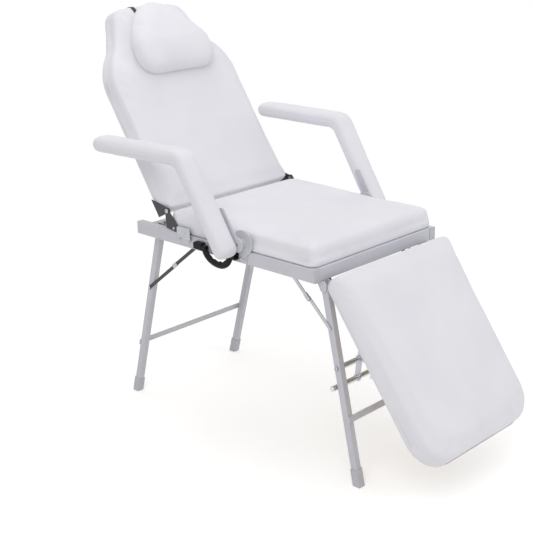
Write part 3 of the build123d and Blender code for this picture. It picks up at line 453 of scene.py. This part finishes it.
def paddedPiece(name, outline, place, settings):
    thickness = settings["thickness"]
    start = drawnIn(evenly(outline, padRim["spacing"]), settings["startInset"])

    # Seat and backrest meet at their hinge with tighter edges than the others have
    def atHinge(y):
        return max(0.0, 1 - abs(y - settings["hingeEnd"]) / settings["hingeBlend"])

    points = []
    for share, inset in zip(padRim["heightShares"], padRim["insets"]):
        level = drawnIn(start, inset * settings.get("rimScale", 1.0))
        for p, edge in zip(level, start):
            drawn = edge.lerp(p, 1 - padRim["hingeSquare"] * atHinge(edge.y))
            points.append((drawn.x, drawn.y, share * thickness))
    piece = meshObject(name, points, ringFaces(len(padRim["insets"]), len(start)))
    facesOut(piece)

    def heldAt(p):
        return 1.0 if p.z < thickness * padRim["heldShare"] else padRim["hingeHeld"] * atHinge(p.y)

    swelled(piece, heldAt, settings["voxel"], settings["cap"])
    relaxed(piece, settings["smoothing"])
    piece.data.update()

    # Shallow dimples on top, small puckers down the sides, and nothing below the board's face
    def topMask(p):
        return min(1.0, max(0.0, (p.z / thickness - 0.3) * 2))

    softUndulation(piece, settings["dimples"], settings["dimpleSize"], settings["seed"], topMask)
    piece.data.update()

    def sideMask(p):
        return max(0.0, 1 - abs(p.z / thickness - 0.45) / 0.45)

    softUndulation(piece, settings["puckers"], settings["puckerSize"], settings["seed"] + 7, sideMask)
    for vertex in piece.data.vertices:
        vertex.co.z = max(vertex.co.z, settings["boardShows"])
    subdivided(piece)
    placed(piece, *place)
    piece.data.materials.append(finishes["white_vinyl"])
    smoothShaded(piece)
    print(name, "faces", len(piece.data.polygons))
    return piece


seatPadSizes = {
    "corner": 28 * mm, "thickness": 60 * mm, "startInset": 1.0 * mm, "voxel": 9 * mm, "cap": 9 * mm,
    "boardShows": 0.6 * mm, "smoothing": 1, "seed": 3,
    "dimples": 1.4 * mm, "dimpleSize": 0.13, "puckers": 1.0 * mm, "puckerSize": 0.03,
    "hingeEnd": 299 * mm, "hingeBlend": 45 * mm, "rearReach": 2 * mm,
}


def makeSeatPad():
    low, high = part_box("seat_cushion")
    middle = (low + high) / 2
    halfWidth, halfLength = (high.x - low.x) / 2, (high.y - low.y) / 2
    rear = halfLength + seatPadSizes["rearReach"]
    corners = [(-halfWidth, -halfLength), (halfWidth, -halfLength), (halfWidth, rear), (-halfWidth, rear)]
    outline = roundedPolygon(corners, [seatPadSizes["corner"]] * 4)
    place = (Vector((0, middle.y, low.z)), Vector((1, 0, 0)), Vector((0, 1, 0)), Vector((0, 0, 1)))
    piece = paddedPiece("seatPad", outline, place, seatPadSizes)
    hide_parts("seat_cushion")
    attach(piece, "frame")
    return piece, outline, place, "frame"


# The backrest and footrest lie on slopes through their hinge lines
slopes = {"backAngle": math.radians(57), "footAngle": math.radians(54)}


def backPlace(s, d):
    pivot = jointPlace("backrest_hinge")
    up = Vector((0, math.cos(slopes["backAngle"]), math.sin(slopes["backAngle"])))
    out = Vector((0, -up.z, up.y))
    return pivot + up * s + out * d, Vector((1, 0, 0)), up, out


def footPlace(b, m):
    pivot = jointPlace("footrest_hinge")
    down = Vector((0, -math.cos(slopes["footAngle"]), -math.sin(slopes["footAngle"])))
    out = Vector((0, down.z, -down.y))
    return pivot + down * b + out * m, Vector((-1, 0, 0)), down, out


backPadSizes = {
    "halfWidth": 270 * mm, "start": 1 * mm, "reach": 703 * mm, "corner": 22 * mm, "under": -55 * mm,
    "halfWidthShares": (1.0, 0.945, 0.785, 0.685, 0.6, 0.525, 0.4),
    "reachShares": (0.569, 0.697, 0.78, 0.853, 0.932, 0.972, 0.991),
    "thickness": 57 * mm, "startInset": 1.0 * mm, "voxel": 9 * mm, "cap": 9 * mm,
    "boardShows": 0.6 * mm, "smoothing": 1, "seed": 11,
    "dimples": 1.8 * mm, "dimpleSize": 0.15, "puckers": 1.0 * mm, "puckerSize": 0.035,
    "hingeEnd": 3 * mm, "hingeBlend": 45 * mm,
}


def makeBackPad():
    size = backPadSizes
    low, corner, half = size["start"], size["corner"], size["halfWidth"]
    shares = zip(size["halfWidthShares"], size["reachShares"])
    right = [(x * half, s * size["reach"]) for x, s in shares]
    left = [(-x, s) for x, s in reversed(right)]
    outline = arcAround((half - corner, low + corner), corner, -90, 0, 10)
    for chain in (right, left):
        if chain is left:
            outline += arcThrough(right[6], (0, size["reach"]), left[0], 24)
        for start in (0, 2, 4):
            outline += arcThrough(chain[start], chain[start + 1], chain[start + 2], 16)
    outline.append(left[6])
    outline += arcAround((corner - half, low + corner), corner, 180, 270, 10)
    place = backPlace(0, size["under"])
    piece = paddedPiece("backPad", outline, place, size)
    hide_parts("backrest_cushion")
    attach(piece, "backrest")
    return piece, outline, place, "backrest"


footPadSizes = {
    "halfWidth": 261 * mm, "start": 30.4 * mm, "length": 590 * mm,
    "nearCorner": 32 * mm, "endCorner": 106 * mm, "under": 37 * mm,
    "thickness": 57 * mm, "startInset": 1.0 * mm, "voxel": 9 * mm, "cap": 10 * mm, "rimScale": 1.5,
    "boardShows": 0.6 * mm, "smoothing": 2, "seed": 19,
    "dimples": 1.4 * mm, "dimpleSize": 0.15, "puckers": 0.9 * mm, "puckerSize": 0.035,
    "hingeEnd": 32 * mm, "hingeBlend": 45 * mm,
}


def makeFootPad():
    size = footPadSizes
    half, low, high = size["halfWidth"], size["start"], size["start"] + size["length"]
    corners = [(-half, low), (half, low), (half, high), (-half, high)]
    outline = roundedPolygon(corners, [size["nearCorner"]] * 2 + [size["endCorner"]] * 2, 16)
    place = footPlace(0, size["under"])
    piece = paddedPiece("footPad", outline, place, size)
    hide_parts("footrest_cushion")
    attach(piece, "footrest")
    return piece, outline, place, "footrest"


armPadSizes = {
    "low": (283 * mm, 645 * mm), "elbow": (438 * mm, 893 * mm), "tip": (784 * mm, 890 * mm),
    "width": 72 * mm, "thickness": 48 * mm, "innerRadius": 34 * mm, "outerRadius": 56 * mm,
    "splay": math.radians(2.2), "insideX": 303 * mm, "rounding": 15 * mm,
    "rimShares": ((0.0, 1.0), (0.04, 0.55), (0.14, 0.16), (0.27, 0.02), (0.5, 0.0)),
    "spacing": 6 * mm, "held": 6 * mm, "pressure": 2.0, "dimples": 0.7 * mm, "dimpleSize": 0.05,
    "voxel": 6 * mm, "cap": 2.5 * mm, "smoothing": 1, "seed": 5,
}


def toLeft(v):
    return Vector((-v.y, v.x))


def armOutline(size, middleY):
    points = [Vector((p[0] - middleY, p[1])) for p in (size["low"], size["elbow"], size["tip"])]
    half = size["thickness"] / 2
    first, second = (points[1] - points[0]).normalized(), (points[2] - points[1]).normalized()
    bend = (toLeft(first) + toLeft(second)).normalized()
    reach = half / bend.dot(toLeft(first))
    corners = [
        points[0] - first * half - toLeft(first) * half,
        points[1] - bend * reach,
        points[2] + second * half - toLeft(second) * half,
        points[2] + second * half + toLeft(second) * half,
        points[1] + bend * reach,
        points[0] - first * half + toLeft(first) * half,
    ]
    end = half * 0.985  # the ends are all but half round
    radii = [end, size["innerRadius"], end, end, size["outerRadius"], end]
    return roundedPolygon([tuple(c) for c in corners], radii, 12)


def makeArmPad(sideName):
    size = armPadSizes
    side = sides[sideName]
    middleY = drawnHingeY - jointPlace("backrest_hinge").y
    outline = evenly(armOutline(size, middleY), size["spacing"])
    levels = list(size["rimShares"])
    levels += [(1 - share, inset) for share, inset in reversed(levels[:-1])]
    points = []
    for share, inset in levels:
        level = drawnIn(outline, inset * size["rounding"])
        points += [(share * size["width"], p.x, p.y) for p in level]
    piece = meshObject("armPad" + sideName.capitalize(), points, ringFaces(len(levels), len(outline)))
    facesOut(piece)
    swelled(piece, lambda p: float(p.x < size["held"]), size["voxel"], size["cap"], size["pressure"])
    relaxed(piece, size["smoothing"])
    piece.data.update()
    softUndulation(piece, size["dimples"], size["dimpleSize"], size["seed"], lambda p: 1.0)
    subdivided(piece)
    pivotY = jointPlace("armrest_hinge_" + sideName).y
    turn = Matrix.Rotation(-size["splay"], 4, "Z")
    shift = Matrix.Translation((size["insideX"], pivotY, 0))
    piece.data.transform(shift @ turn @ Matrix.Translation((0, -pivotY, 0)))
    if side < 0:
        piece.data.transform(Matrix.Scale(-1, 4, (1, 0, 0)))
        piece.data.flip_normals()
    piece.data.materials.append(finishes["white_vinyl"])
    smoothShaded(piece)
    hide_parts("armrest_pad_" + sideName)
    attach(piece, "armrest_" + sideName)
    print(piece.name, "faces", len(piece.data.polygons))
    return piece


pillowSizes = {
    "start": 433 * mm, "length": 257 * mm, "halfWidth": 156 * mm, "corner": 60 * mm, "bulge": 58 * mm,
    "lift": 9.4 * mm, "draw": 2 * mm, "crestEnd": 75 * mm, "headShare": 0.42, "voxel": 7 * mm, "cap": 5 * mm,
    "widthShares": (1.0, 0.985, 0.83, 0.6, 0.0), "lengthShares": (0.26, 0.43, 0.62, 0.83, 0.985),
    "heightShares": (0.0, 0.13, 0.3, 0.5, 0.68, 0.82, 0.92, 0.975, 1.0),
    "insetShares": (0.1, 0.02, 0.0, 0.04, 0.14, 0.3, 0.52, 0.8, 1.0), "rounding": 0.92,
    "smoothing": 4, "seed": 23, "spacing": 8 * mm, "held": 4 * mm, "pressure": 4.0,
    "dimples": 1.6 * mm, "dimpleSize": 0.09, "dimpleRise": 20 * mm, "seamRise": 9 * mm, "seamInset": 2 * mm,
}


def pillowOutline(size):
    half, corner, length = size["halfWidth"], size["corner"], size["length"]
    right = [(x * half, s * length) for x, s in zip(size["widthShares"], size["lengthShares"])]
    left = [(-x, s) for x, s in reversed(right)]
    outline = arcAround((half - corner, corner), corner, -90, 0, 12)
    outline += arcThrough((half, corner), right[0], right[1], 12)
    outline += arcThrough(right[1], right[2], right[3], 16)
    outline += arcThrough(right[3], right[4], left[1], 24)
    outline += arcThrough(left[1], left[2], left[3], 16)
    outline += arcThrough(left[3], left[4], (-half, corner), 12)
    outline += arcAround((corner - half, corner), corner, 180, 270, 12)
    return outline + arcThrough((corner - half, 0), (0, size["draw"]), (half - corner, 0), 16)[1:]


def makePillow():
    size = pillowSizes
    outline = evenly(pillowOutline(size), size["spacing"])
    points = []
    for height, inset in zip(size["heightShares"], size["insetShares"]):
        level = drawnIn(outline, inset * size["bulge"] * size["rounding"])
        for p in level:
            far = min(1.0, max(0.0, (p.y - size["crestEnd"]) / (size["length"] - size["crestEnd"])))
            taper = 1 - (1 - size["headShare"]) * far * far * (3 - 2 * far)
            points.append((p.x, p.y, height * size["bulge"] * taper))
    piece = meshObject("headPillow", points, ringFaces(len(size["insetShares"]), len(outline)))
    facesOut(piece)
    swelled(piece, lambda p: float(p.z < size["held"]), size["voxel"], size["cap"], size["pressure"])
    relaxed(piece, size["smoothing"])
    piece.data.update()

    def onTop(p):
        return min(1.0, p.z / size["dimpleRise"])

    softUndulation(piece, size["dimples"], size["dimpleSize"], size["seed"], onTop)
    for vertex in piece.data.vertices:
        vertex.co.z = max(vertex.co.z, 0.0)
    subdivided(piece)
    seam = [(p.x, p.y, size["seamRise"]) for p in drawnIn(outline, size["seamInset"])]
    place = backPlace(size["start"], size["lift"])
    placed(piece, *place)
    piece.data.materials.append(finishes["white_vinyl"])
    smoothShaded(piece)
    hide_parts("head_pillow")
    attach(piece, "backrest")
    print("headPillow faces", len(piece.data.polygons))
    origin, across, along, out = place
    return piece, [origin + across * p[0] + along * p[1] + out * p[2] for p in seam]


# Two elastic straps hold the pillow: out of its edge, over the head end and down the back of the pad.
# The route is given in millimetres along the backrest and out from its hinge plane.
strapSizes = {
    "x": 62 * mm, "width": 15 * mm, "thickness": 1.5 * mm, "lift": 0.4 * mm, "softEdge": 0.5 * mm,
    "route": ((636, 25), (650, 22), (664, 20), (678, 18), (690, 14), (700, 8),
              (707, 0), (711, -10), (713, -22), (713, -34), (710, -46), (703, -56),
              (692, -63), (678, -66), (660, -66), (640, -66), (620, -66), (598, -66)),
}


def makeStraps(pad):
    size = strapSizes
    surface = surfaceOf(pad)
    origin, across, along, out = backPlace(0, 0)
    half, low, high = size["width"] / 2, size["lift"], size["lift"] + size["thickness"]
    points, faces = [], []
    for side in sides.values():
        first = len(points)
        for s, d in size["route"]:
            wanted = origin + across * side * size["x"] + (along * s + out * d) * mm
            place, normal = surface.find_nearest(wanted)[:2]
            flat = (normal - across * normal.dot(across)).normalized()
            middle = place + across * (side * size["x"] - place.dot(across))
            for x, rise in ((-half, low), (half, low), (half, high), (-half, high)):
                points.append(middle + across * x + flat * rise)
        faces += [tuple(first + i for i in face) for face in ringFaces(len(size["route"]), 4)]
    piece = meshObject("pillowStraps", points, faces, finishes["black_elastic"])
    facesOut(piece)
    bevel = piece.modifiers.new("bevel", "BEVEL")
    bevel.width = size["softEdge"]
    bevel.segments = 2
    applied(piece)
    relaxed(piece, 2, 0.3)
    smoothShaded(piece)
    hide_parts("pillow_straps")
    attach(piece, "backrest")
    print("pillowStraps faces", len(piece.data.polygons))


# What repeats is grown by Geometry Nodes: stitches, staples and screw heads
def treeSockets(tree, names):
    tree.interface.new_socket(name="Geometry", in_out="OUTPUT", socket_type="NodeSocketGeometry")
    tree.interface.new_socket(name="Base", in_out="INPUT", socket_type="NodeSocketGeometry")
    for name in names:
        tree.interface.new_socket(name=name, in_out="INPUT", socket_type="NodeSocketFloat")
    tree.interface.new_socket(name="Finish", in_out="INPUT", socket_type="NodeSocketMaterial")
    return addNode(tree, "NodeGroupInput").outputs


def finishedTree(tree, geometry, finish):
    real = addNode(tree, "GeometryNodeRealizeInstances", {"Geometry": geometry})
    coated = addNode(tree, "GeometryNodeSetMaterial", {"Geometry": real.outputs[0], "Material": finish})
    addNode(tree, "NodeGroupOutput", {"Geometry": coated.outputs[0]})
    return tree


def facingRotation(tree, axis, vector, rotation=None, pivot="AUTO"):
    inputs = {"Vector": vector}
    if rotation is not None:
        inputs["Rotation"] = rotation
    made = addNode(tree, "FunctionNodeAlignRotationToVector", inputs, axis=axis, pivot_axis=pivot)
    return made.outputs["Rotation"]


def facingAttribute(tree):
    made = addNode(tree, "GeometryNodeInputNamedAttribute", {"Name": "facing"}, data_type="FLOAT_VECTOR")
    return made.outputs["Attribute"]


def barTree():
    # Short bars along a seam, lying on the surface: thread stitches or the crowns of staples
    tree = bpy.data.node_groups.new("barsAlongSeam", "GeometryNodeTree")
    given = treeSockets(tree, ("Spacing", "Length", "Thickness"))
    curve = addNode(tree, "GeometryNodeMeshToCurve", {"Mesh": given["Base"]}).outputs[0]
    inputs = {"Curve": curve, "Length": given["Spacing"]}
    even = addNode(tree, "GeometryNodeResampleCurve", inputs, mode="LENGTH")
    inputs = {"X": given["Length"], "Y": given["Thickness"], "Z": given["Thickness"]}
    size = addNode(tree, "ShaderNodeCombineXYZ", inputs)
    ball = addNode(tree, "GeometryNodeMeshUVSphere", {"Segments": 8, "Rings": 6, "Radius": 0.5})
    bar = addNode(tree, "GeometryNodeTransform", {"Geometry": ball.outputs["Mesh"], "Scale": size.outputs[0]})
    tangent = addNode(tree, "GeometryNodeInputTangent").outputs[0]
    turn = facingRotation(tree, "X", tangent)
    lying = facingRotation(tree, "Z", facingAttribute(tree), turn, "X")
    inputs = {"Points": even.outputs[0], "Instance": bar.outputs[0], "Rotation": lying}
    bars = addNode(tree, "GeometryNodeInstanceOnPoints", inputs)
    return finishedTree(tree, bars.outputs[0], given["Finish"])


def headTree():
    # Domed heads with a cross recess, each facing the way its point says
    tree = bpy.data.node_groups.new("crossHeads", "GeometryNodeTree")
    given = treeSockets(tree, ("Radius", "Height", "Recess", "Slot"))
    ball = addNode(tree, "GeometryNodeMeshUVSphere", {"Segments": 28, "Rings": 14, "Radius": 1.0})
    inputs = {"X": given["Radius"], "Y": given["Radius"], "Z": given["Height"]}
    scale = addNode(tree, "ShaderNodeCombineXYZ", inputs).outputs[0]
    inputs = {"Geometry": ball.outputs["Mesh"], "Scale": scale}
    head = addNode(tree, "GeometryNodeTransform", inputs).outputs[0]
    lifted = addNode(tree, "ShaderNodeCombineXYZ", {"Z": given["Height"]}).outputs[0]
    for axes in (("X", "Y"), ("Y", "X")):
        inputs = {axes[0]: given["Recess"], axes[1]: given["Slot"], "Z": given["Height"]}
        size = addNode(tree, "ShaderNodeCombineXYZ", inputs).outputs[0]
        cube = addNode(tree, "GeometryNodeMeshCube", {"Size": size}).outputs["Mesh"]
        cutter = addNode(tree, "GeometryNodeTransform", {"Geometry": cube, "Translation": lifted}).outputs[0]
        inputs = {"Mesh 1": head, "Mesh 2": cutter}
        cut = addNode(tree, "GeometryNodeMeshBoolean", inputs, operation="DIFFERENCE", solver="EXACT")
        head = cut.outputs["Mesh"]
    turn = facingRotation(tree, "Z", facingAttribute(tree))
    inputs = {"Points": given["Base"], "Instance": head, "Rotation": turn}
    heads = addNode(tree, "GeometryNodeInstanceOnPoints", inputs)
    return finishedTree(tree, heads.outputs[0], given["Finish"])


def grown(name, tree, places, facings, values, slot, body, chains=()):
    mesh = bpy.data.meshes.new(name)
    mesh.from_pydata([tuple(p) for p in places], [tuple(e) for e in chains], [])
    facing = mesh.attributes.new("facing", "FLOAT_VECTOR", "POINT")
    facing.data.foreach_set("vector", [c for f in facings for c in f])
    piece = linked(name, mesh)
    modifier = piece.modifiers.new("grow", "NODES")
    modifier.node_group = tree
    sockets = {item.name: item.identifier for item in tree.interface.items_tree if item.in_out == "INPUT"}
    for key, value in values.items():
        modifier[sockets[key]] = value
    modifier[sockets["Finish"]] = finishes[slot]
    applied(piece)
    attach(piece, body)
    print(name, "faces", len(piece.data.polygons))
    return piece


def onSurface(piece, places):
    surface = surfaceOf(piece)
    found = [surface.find_nearest(place) for place in places]
    return [hit[0] for hit in found], [hit[1] for hit in found]


# Lock stitches of 3 mm every 4.5 mm, drawn thicker than the real 0.4 mm thread so that they show
stitchSizes = {"Spacing": 4.5 * mm, "Length": 3.2 * mm, "Thickness": 0.9 * mm}


def makeStitches(bars, pillow, seam):
    places, facings = onSurface(pillow, seam)
    chains = [(i, (i + 1) % len(places)) for i in range(len(places))]
    grown("pillowStitches", bars, places, facings, stitchSizes, "white_vinyl", "backrest", chains)


# The vinyl is pulled round each board and stapled under it every 32 mm
hemSizes = {
    "reach": 34 * mm, "sheet": 1.2 * mm, "edge": 5.5 * mm, "wall": 14 * mm,
    "turnRise": 2.5 * mm, "lap": 0.2 * mm, "spacing": 14 * mm, "ripple": 0.5 * mm, "rippleSize": 0.02,
    "stapleLine": 24 * mm, "stapleGap": 0.5 * mm,
}
stapleSizes = {"Spacing": 32 * mm, "Length": 11 * mm, "Thickness": 1.2 * mm}


def makeHem(bars, name, outline, place, body):
    size = hemSizes
    edge, reach, sheet, wall = size["edge"], size["reach"], size["sheet"], size["wall"]
    start = evenly(outline, size["spacing"])
    profile = (
        (edge + 1 * mm, wall), (edge, wall * 0.8), (edge, size["turnRise"]), (edge + 0.8 * mm, 0.0),
        (edge + 3 * mm, -sheet), (reach - 2 * mm, -sheet), (reach, -sheet * 0.5), (reach, size["lap"]),
    )
    points = []
    for index, (inset, height) in enumerate(profile):
        for p in drawnIn(start, inset):
            ripple = 0.0
            if index in (5, 6):  # only the free edge under the board is rippled
                ripple = noise.noise(Vector((p.x, p.y, inset)) / size["rippleSize"]) * size["ripple"]
            points.append((p.x, p.y, height + ripple))
    faces = ringFaces(len(profile), len(start), False)
    hem = meshObject(name + "Hem", points, faces, finishes["white_vinyl"])
    facesOut(hem)
    placed(hem, *place)
    smoothShaded(hem)
    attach(hem, body)
    origin, across, along, out = place
    line = drawnIn(start, size["stapleLine"])
    under = sheet + size["stapleGap"]
    places = [origin + across * p.x + along * p.y - out * under for p in line]
    chains = [(i, (i + 1) % len(places)) for i in range(len(places))]
    grown(name + "Staples", bars, places, [-out] * len(places), stapleSizes, "zinc_steel", body, chains)


# Fasteners that show: the place of each is read from the frame's joints and pieces
headSizes = {
    "small": {"Radius": 4.2 * mm, "Height": 1.6 * mm, "Recess": 4.4 * mm, "Slot": 1.0 * mm},
    "middle": {"Radius": 4.6 * mm, "Height": 1.5 * mm, "Recess": 0.0, "Slot": 0.0},
    "large": {"Radius": 6.6 * mm, "Height": 2.4 * mm, "Recess": 6.0 * mm, "Slot": 1.4 * mm},
}
bracketScrews = {"shift": 8.4 * mm, "height": 606 * mm}


def makeHeads(heads, name, kind, node, places, body):
    low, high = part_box(node)
    reach = max(-low.x, high.x)
    spots = [Vector((side * reach, y, z)) for y, z in places for side in (-1, 1)]
    facings = [Vector((1 if spot.x > 0 else -1, 0, 0)) for spot in spots]
    grown(name, heads, spots, facings, headSizes[kind], "zinc_steel", body)


def makeFasteners(heads):
    hinge = jointPlace("backrest_hinge")
    arm = jointPlace("armrest_hinge_left")
    tube = sum(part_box("support_pivot_tube"), Vector()) / 2
    brace = jointPlace("rear_upper_link_hinge")
    screws = [(arm.y + way * bracketScrews["shift"], bracketScrews["height"]) for way in (-1, 1)]
    makeHeads(heads, "hingePinHeads", "large", "backrest_pivot_pins", [(hinge.y, hinge.z)], "frame")
    makeHeads(heads, "supportBoltHeads", "large", "front_leg_rivets", [(tube.y, tube.z)], "front_legs")
    makeHeads(heads, "railRivetHeads", "middle", "brace_rail_pins", [(brace.y, brace.z)], "frame")
    makeHeads(heads, "bracketScrewHeads", "small", "frame_screws", screws, "frame")


# Carrying grip: a smooth moulded bow with finger waves on its inner side, and steel pins at its ends
gripSizes = {
    "front": 309 * mm, "rear": 434 * mm, "top": 611 * mm, "x": -286.5 * mm, "radius": 8 * mm,
    "bowShare": 1.3, "bowStart": 4 * mm, "waves": 5, "waveDepth": 2.0 * mm, "waveLift": 0.4,
    "waveStart": 14 * mm, "waveSpan": (0.12, 0.86), "blend": 10 * mm,
    "inset": 9 * mm, "eyeRadius": 8.2 * mm, "eyeLength": 17.1 * mm, "voxel": 1.5 * mm,
    "depthShares": (0.0, 0.3, 0.72, 0.98, 1.0, 0.84, 0.5, 0.18, 0.0),
    "lengthShares": (0.0, 0.0, 0.1, 0.3, 0.52, 0.76, 0.94, 1.0, 1.0), "depth": 42 * mm,
}


def makeGrip():
    size = gripSizes
    top, inset = size["top"], size["inset"]
    shift = drawnHingeY - jointPlace("backrest_hinge").y
    front, rear = size["front"] + inset - shift, size["rear"] - inset - shift
    curve = bpy.data.curves.new("gripPath", "CURVE")
    curve.dimensions = "3D"
    curve.bevel_depth = size["radius"]
    curve.bevel_resolution = 6
    curve.use_fill_caps = True
    spline = curve.splines.new("NURBS")
    spline.points.add(len(size["depthShares"]) - 1)
    for point, share, depth in zip(spline.points, size["lengthShares"], size["depthShares"]):
        point.co = (size["x"], front + (rear - front) * share, top - size["depth"] * depth, 1)
    spline.order_u = 4
    spline.use_endpoint_u = True
    spline.resolution_u = 12
    path = linked("gripPath", curve)
    bpy.context.view_layer.update()
    graph = bpy.context.evaluated_depsgraph_get()
    mesh = bpy.data.meshes.new_from_object(path.evaluated_get(graph))
    bpy.data.objects.remove(path)
    work = bmesh.new()
    work.from_mesh(mesh)
    for y in (front, rear):
        turn = Matrix.Translation((size["x"], y, top)) @ Matrix.Rotation(math.pi / 2, 4, "X")
        radii = {"radius1": size["eyeRadius"], "radius2": size["eyeRadius"]}
        bmesh.ops.create_cone(work, cap_ends=True, segments=32, depth=size["eyeLength"], matrix=turn, **radii)
    work.to_mesh(mesh)
    work.free()
    grip = remeshed(linked("carryGrip", mesh), size["voxel"])

    def below(place, start):
        return min(1.0, max(0.0, (top - place.z - start) / size["blend"]))

    for vertex in grip.data.vertices:
        bowed = Vector((0, vertex.normal.y, vertex.normal.z)) * size["radius"] * (size["bowShare"] - 1)
        vertex.co += bowed * below(vertex.co, size["bowStart"])
    first, last = size["waveSpan"]
    for vertex in grip.data.vertices:
        along = (vertex.co.y - front) / (rear - front)
        if first < along < last:
            wave = math.cos(math.tau * size["waves"] * along) + size["waveLift"]
            share = max(0.0, vertex.normal.z) * below(vertex.co, size["waveStart"])
            vertex.co.z += share * size["waveDepth"] * wave
    relaxed(grip, 3)
    grip.data.materials.clear()
    grip.data.materials.append(finishes["black_plastic"])
    smoothShaded(grip)
    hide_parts("carry_handle")
    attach(grip, "carry_handle")
    print("carryGrip faces", len(grip.data.polygons))


barGroup, headGroup = barTree(), headTree()
for makePad in (makeSeatPad, makeBackPad, makeFootPad):
    piece, outline, place, body = makePad()
    makeHem(barGroup, piece.name, outline, place, body)
    if body == "backrest":
        makeStraps(piece)
pillowPiece, pillowSeam = makePillow()
makeStitches(barGroup, pillowPiece, pillowSeam)
for sideName in sides:
    makeArmPad(sideName)
makeFasteners(headGroup)
makeGrip()


# Room: a pale floor, a soft key from the upper left, a wide fill from the front and an even sky
studio = {
    "floorColour": "#FAFAFA", "floorGlow": 0.36, "skyStrength": 0.5, "skyColour": "#FFFFFF",
    "fadeStart": 0.9, "fadeEnd": 2.4,
    "halfFloor": 40.0, "aim": (0, -0.1, 0.5),
    "lamps": {  # place, disk size and power
        "keyLight": ((-2.6, -1.6, 3.2), 2.6, 40.0),
        "fillLight": ((1.9, -3.0, 1.7), 2.4, 20.0),
        "topLight": ((0.3, 0.6, 3.4), 3.0, 24.0),
    },
}


def mathNode(tree, operation, first, second, **settings):
    return addNode(tree, "ShaderNodeMath", {0: first, 1: second}, operation=operation, **settings).outputs[0]


def makeFloor():
    half = studio["halfFloor"]
    corners = [(-half, -half, 0), (half, -half, 0), (half, half, 0), (-half, half, 0)]
    floor = meshObject("floor", corners, [(0, 1, 2, 3)])
    material = bpy.data.materials.new("paleFloor")
    material.use_nodes = True
    tree = material.node_tree
    tree.nodes.clear()
    path = addNode(tree, "ShaderNodeLightPath").outputs
    seen = mathNode(tree, "ADD", path["Is Camera Ray"], path["Is Glossy Ray"])
    glowing = mathNode(tree, "ADD", seen, path["Is Transmission Ray"])
    strength = mathNode(tree, "MULTIPLY", glowing, studio["floorGlow"])
    glow = addNode(tree, "ShaderNodeEmission", {"Color": linearColour("#FFFFFF"), "Strength": strength})
    matt = addNode(tree, "ShaderNodeBsdfDiffuse", {"Color": linearColour(studio["floorColour"])})
    both = addNode(tree, "ShaderNodeAddShader", {0: glow.outputs[0], 1: matt.outputs[0]})
    coords = addNode(tree, "ShaderNodeTexCoord").outputs["Object"]
    away = addNode(tree, "ShaderNodeVectorMath", {0: coords}, operation="LENGTH").outputs["Value"]
    inputs = {"Value": away, "From Min": studio["fadeStart"], "From Max": studio["fadeEnd"]}
    far = addNode(tree, "ShaderNodeMapRange", inputs, interpolation_type="SMOOTHSTEP").outputs["Result"]
    fade = mathNode(tree, "MULTIPLY", glowing, far, use_clamp=True)
    white = addNode(tree, "ShaderNodeEmission", {"Color": linearColour("#FFFFFF"), "Strength": 1.0})
    mixed = addNode(tree, "ShaderNodeMixShader", {0: fade, 1: both.outputs[0], 2: white.outputs[0]})
    addNode(tree, "ShaderNodeOutputMaterial", {"Surface": mixed.outputs[0]})
    floor.data.materials.append(material)


def makeSky():
    world = bpy.data.worlds.new("studioSky")
    bpy.context.scene.world = world
    world.use_nodes = True
    tree = world.node_tree
    tree.nodes.clear()
    path = addNode(tree, "ShaderNodeLightPath").outputs
    seen = mathNode(tree, "MAXIMUM", path["Is Camera Ray"], path["Is Glossy Ray"])
    shown = mathNode(tree, "MAXIMUM", seen, path["Is Transmission Ray"])
    strength = spread(tree, shown, studio["skyStrength"], 1.0)
    inputs = {"Color": linearColour(studio["skyColour"]), "Strength": strength}
    glow = addNode(tree, "ShaderNodeBackground", inputs)
    addNode(tree, "ShaderNodeOutputWorld", {"Surface": glow.outputs[0]})


def makeLamp(name, place, size, power):
    lamp = bpy.data.lights.new(name, "AREA")
    lamp.shape = "DISK"
    lamp.size = size
    lamp.energy = power
    made = linked(name, lamp)
    made.location = place
    made.rotation_euler = (Vector(studio["aim"]) - Vector(place)).to_track_quat("-Z", "Y").to_euler()


# The camera was recovered from the straight lines of the photograph's frame
cameraSizes = {
    "place": (-2.3841, -2.2149, 1.5930), "yaw": math.radians(-45.38), "pitch": math.radians(18.54),
    "roll": math.radians(-1.34), "focalPixels": 1106.7, "imageHeight": 535, "sensor": 36.0, "farthest": 200,
}


def makeCamera():
    size = cameraSizes
    yaw, pitch, roll = size["yaw"], size["pitch"], size["roll"]
    ahead = Vector((-math.sin(yaw) * math.cos(pitch), math.cos(yaw) * math.cos(pitch), -math.sin(pitch)))
    right = Vector((math.cos(yaw), math.sin(yaw), 0))
    up = right.cross(ahead)
    across = right * math.cos(roll) + up * math.sin(roll)
    upright = up * math.cos(roll) - right * math.sin(roll)
    data = bpy.data.cameras.new("photoCamera")
    data.sensor_width = size["sensor"]
    data.lens = size["focalPixels"] / size["imageHeight"] * size["sensor"]
    data.clip_end = size["farthest"]
    camera = linked("photoCamera", data)
    matrix = Matrix((across, upright, -ahead)).transposed().to_4x4()
    matrix.translation = size["place"]
    camera.matrix_world = matrix
    bpy.context.scene.camera = camera


makeFloor()
makeSky()
for lampName, lampValues in studio["lamps"].items():
    makeLamp(lampName, *lampValues)
makeCamera()
bpy.context.scene.view_settings.view_transform = "Standard"
print("room and camera made")
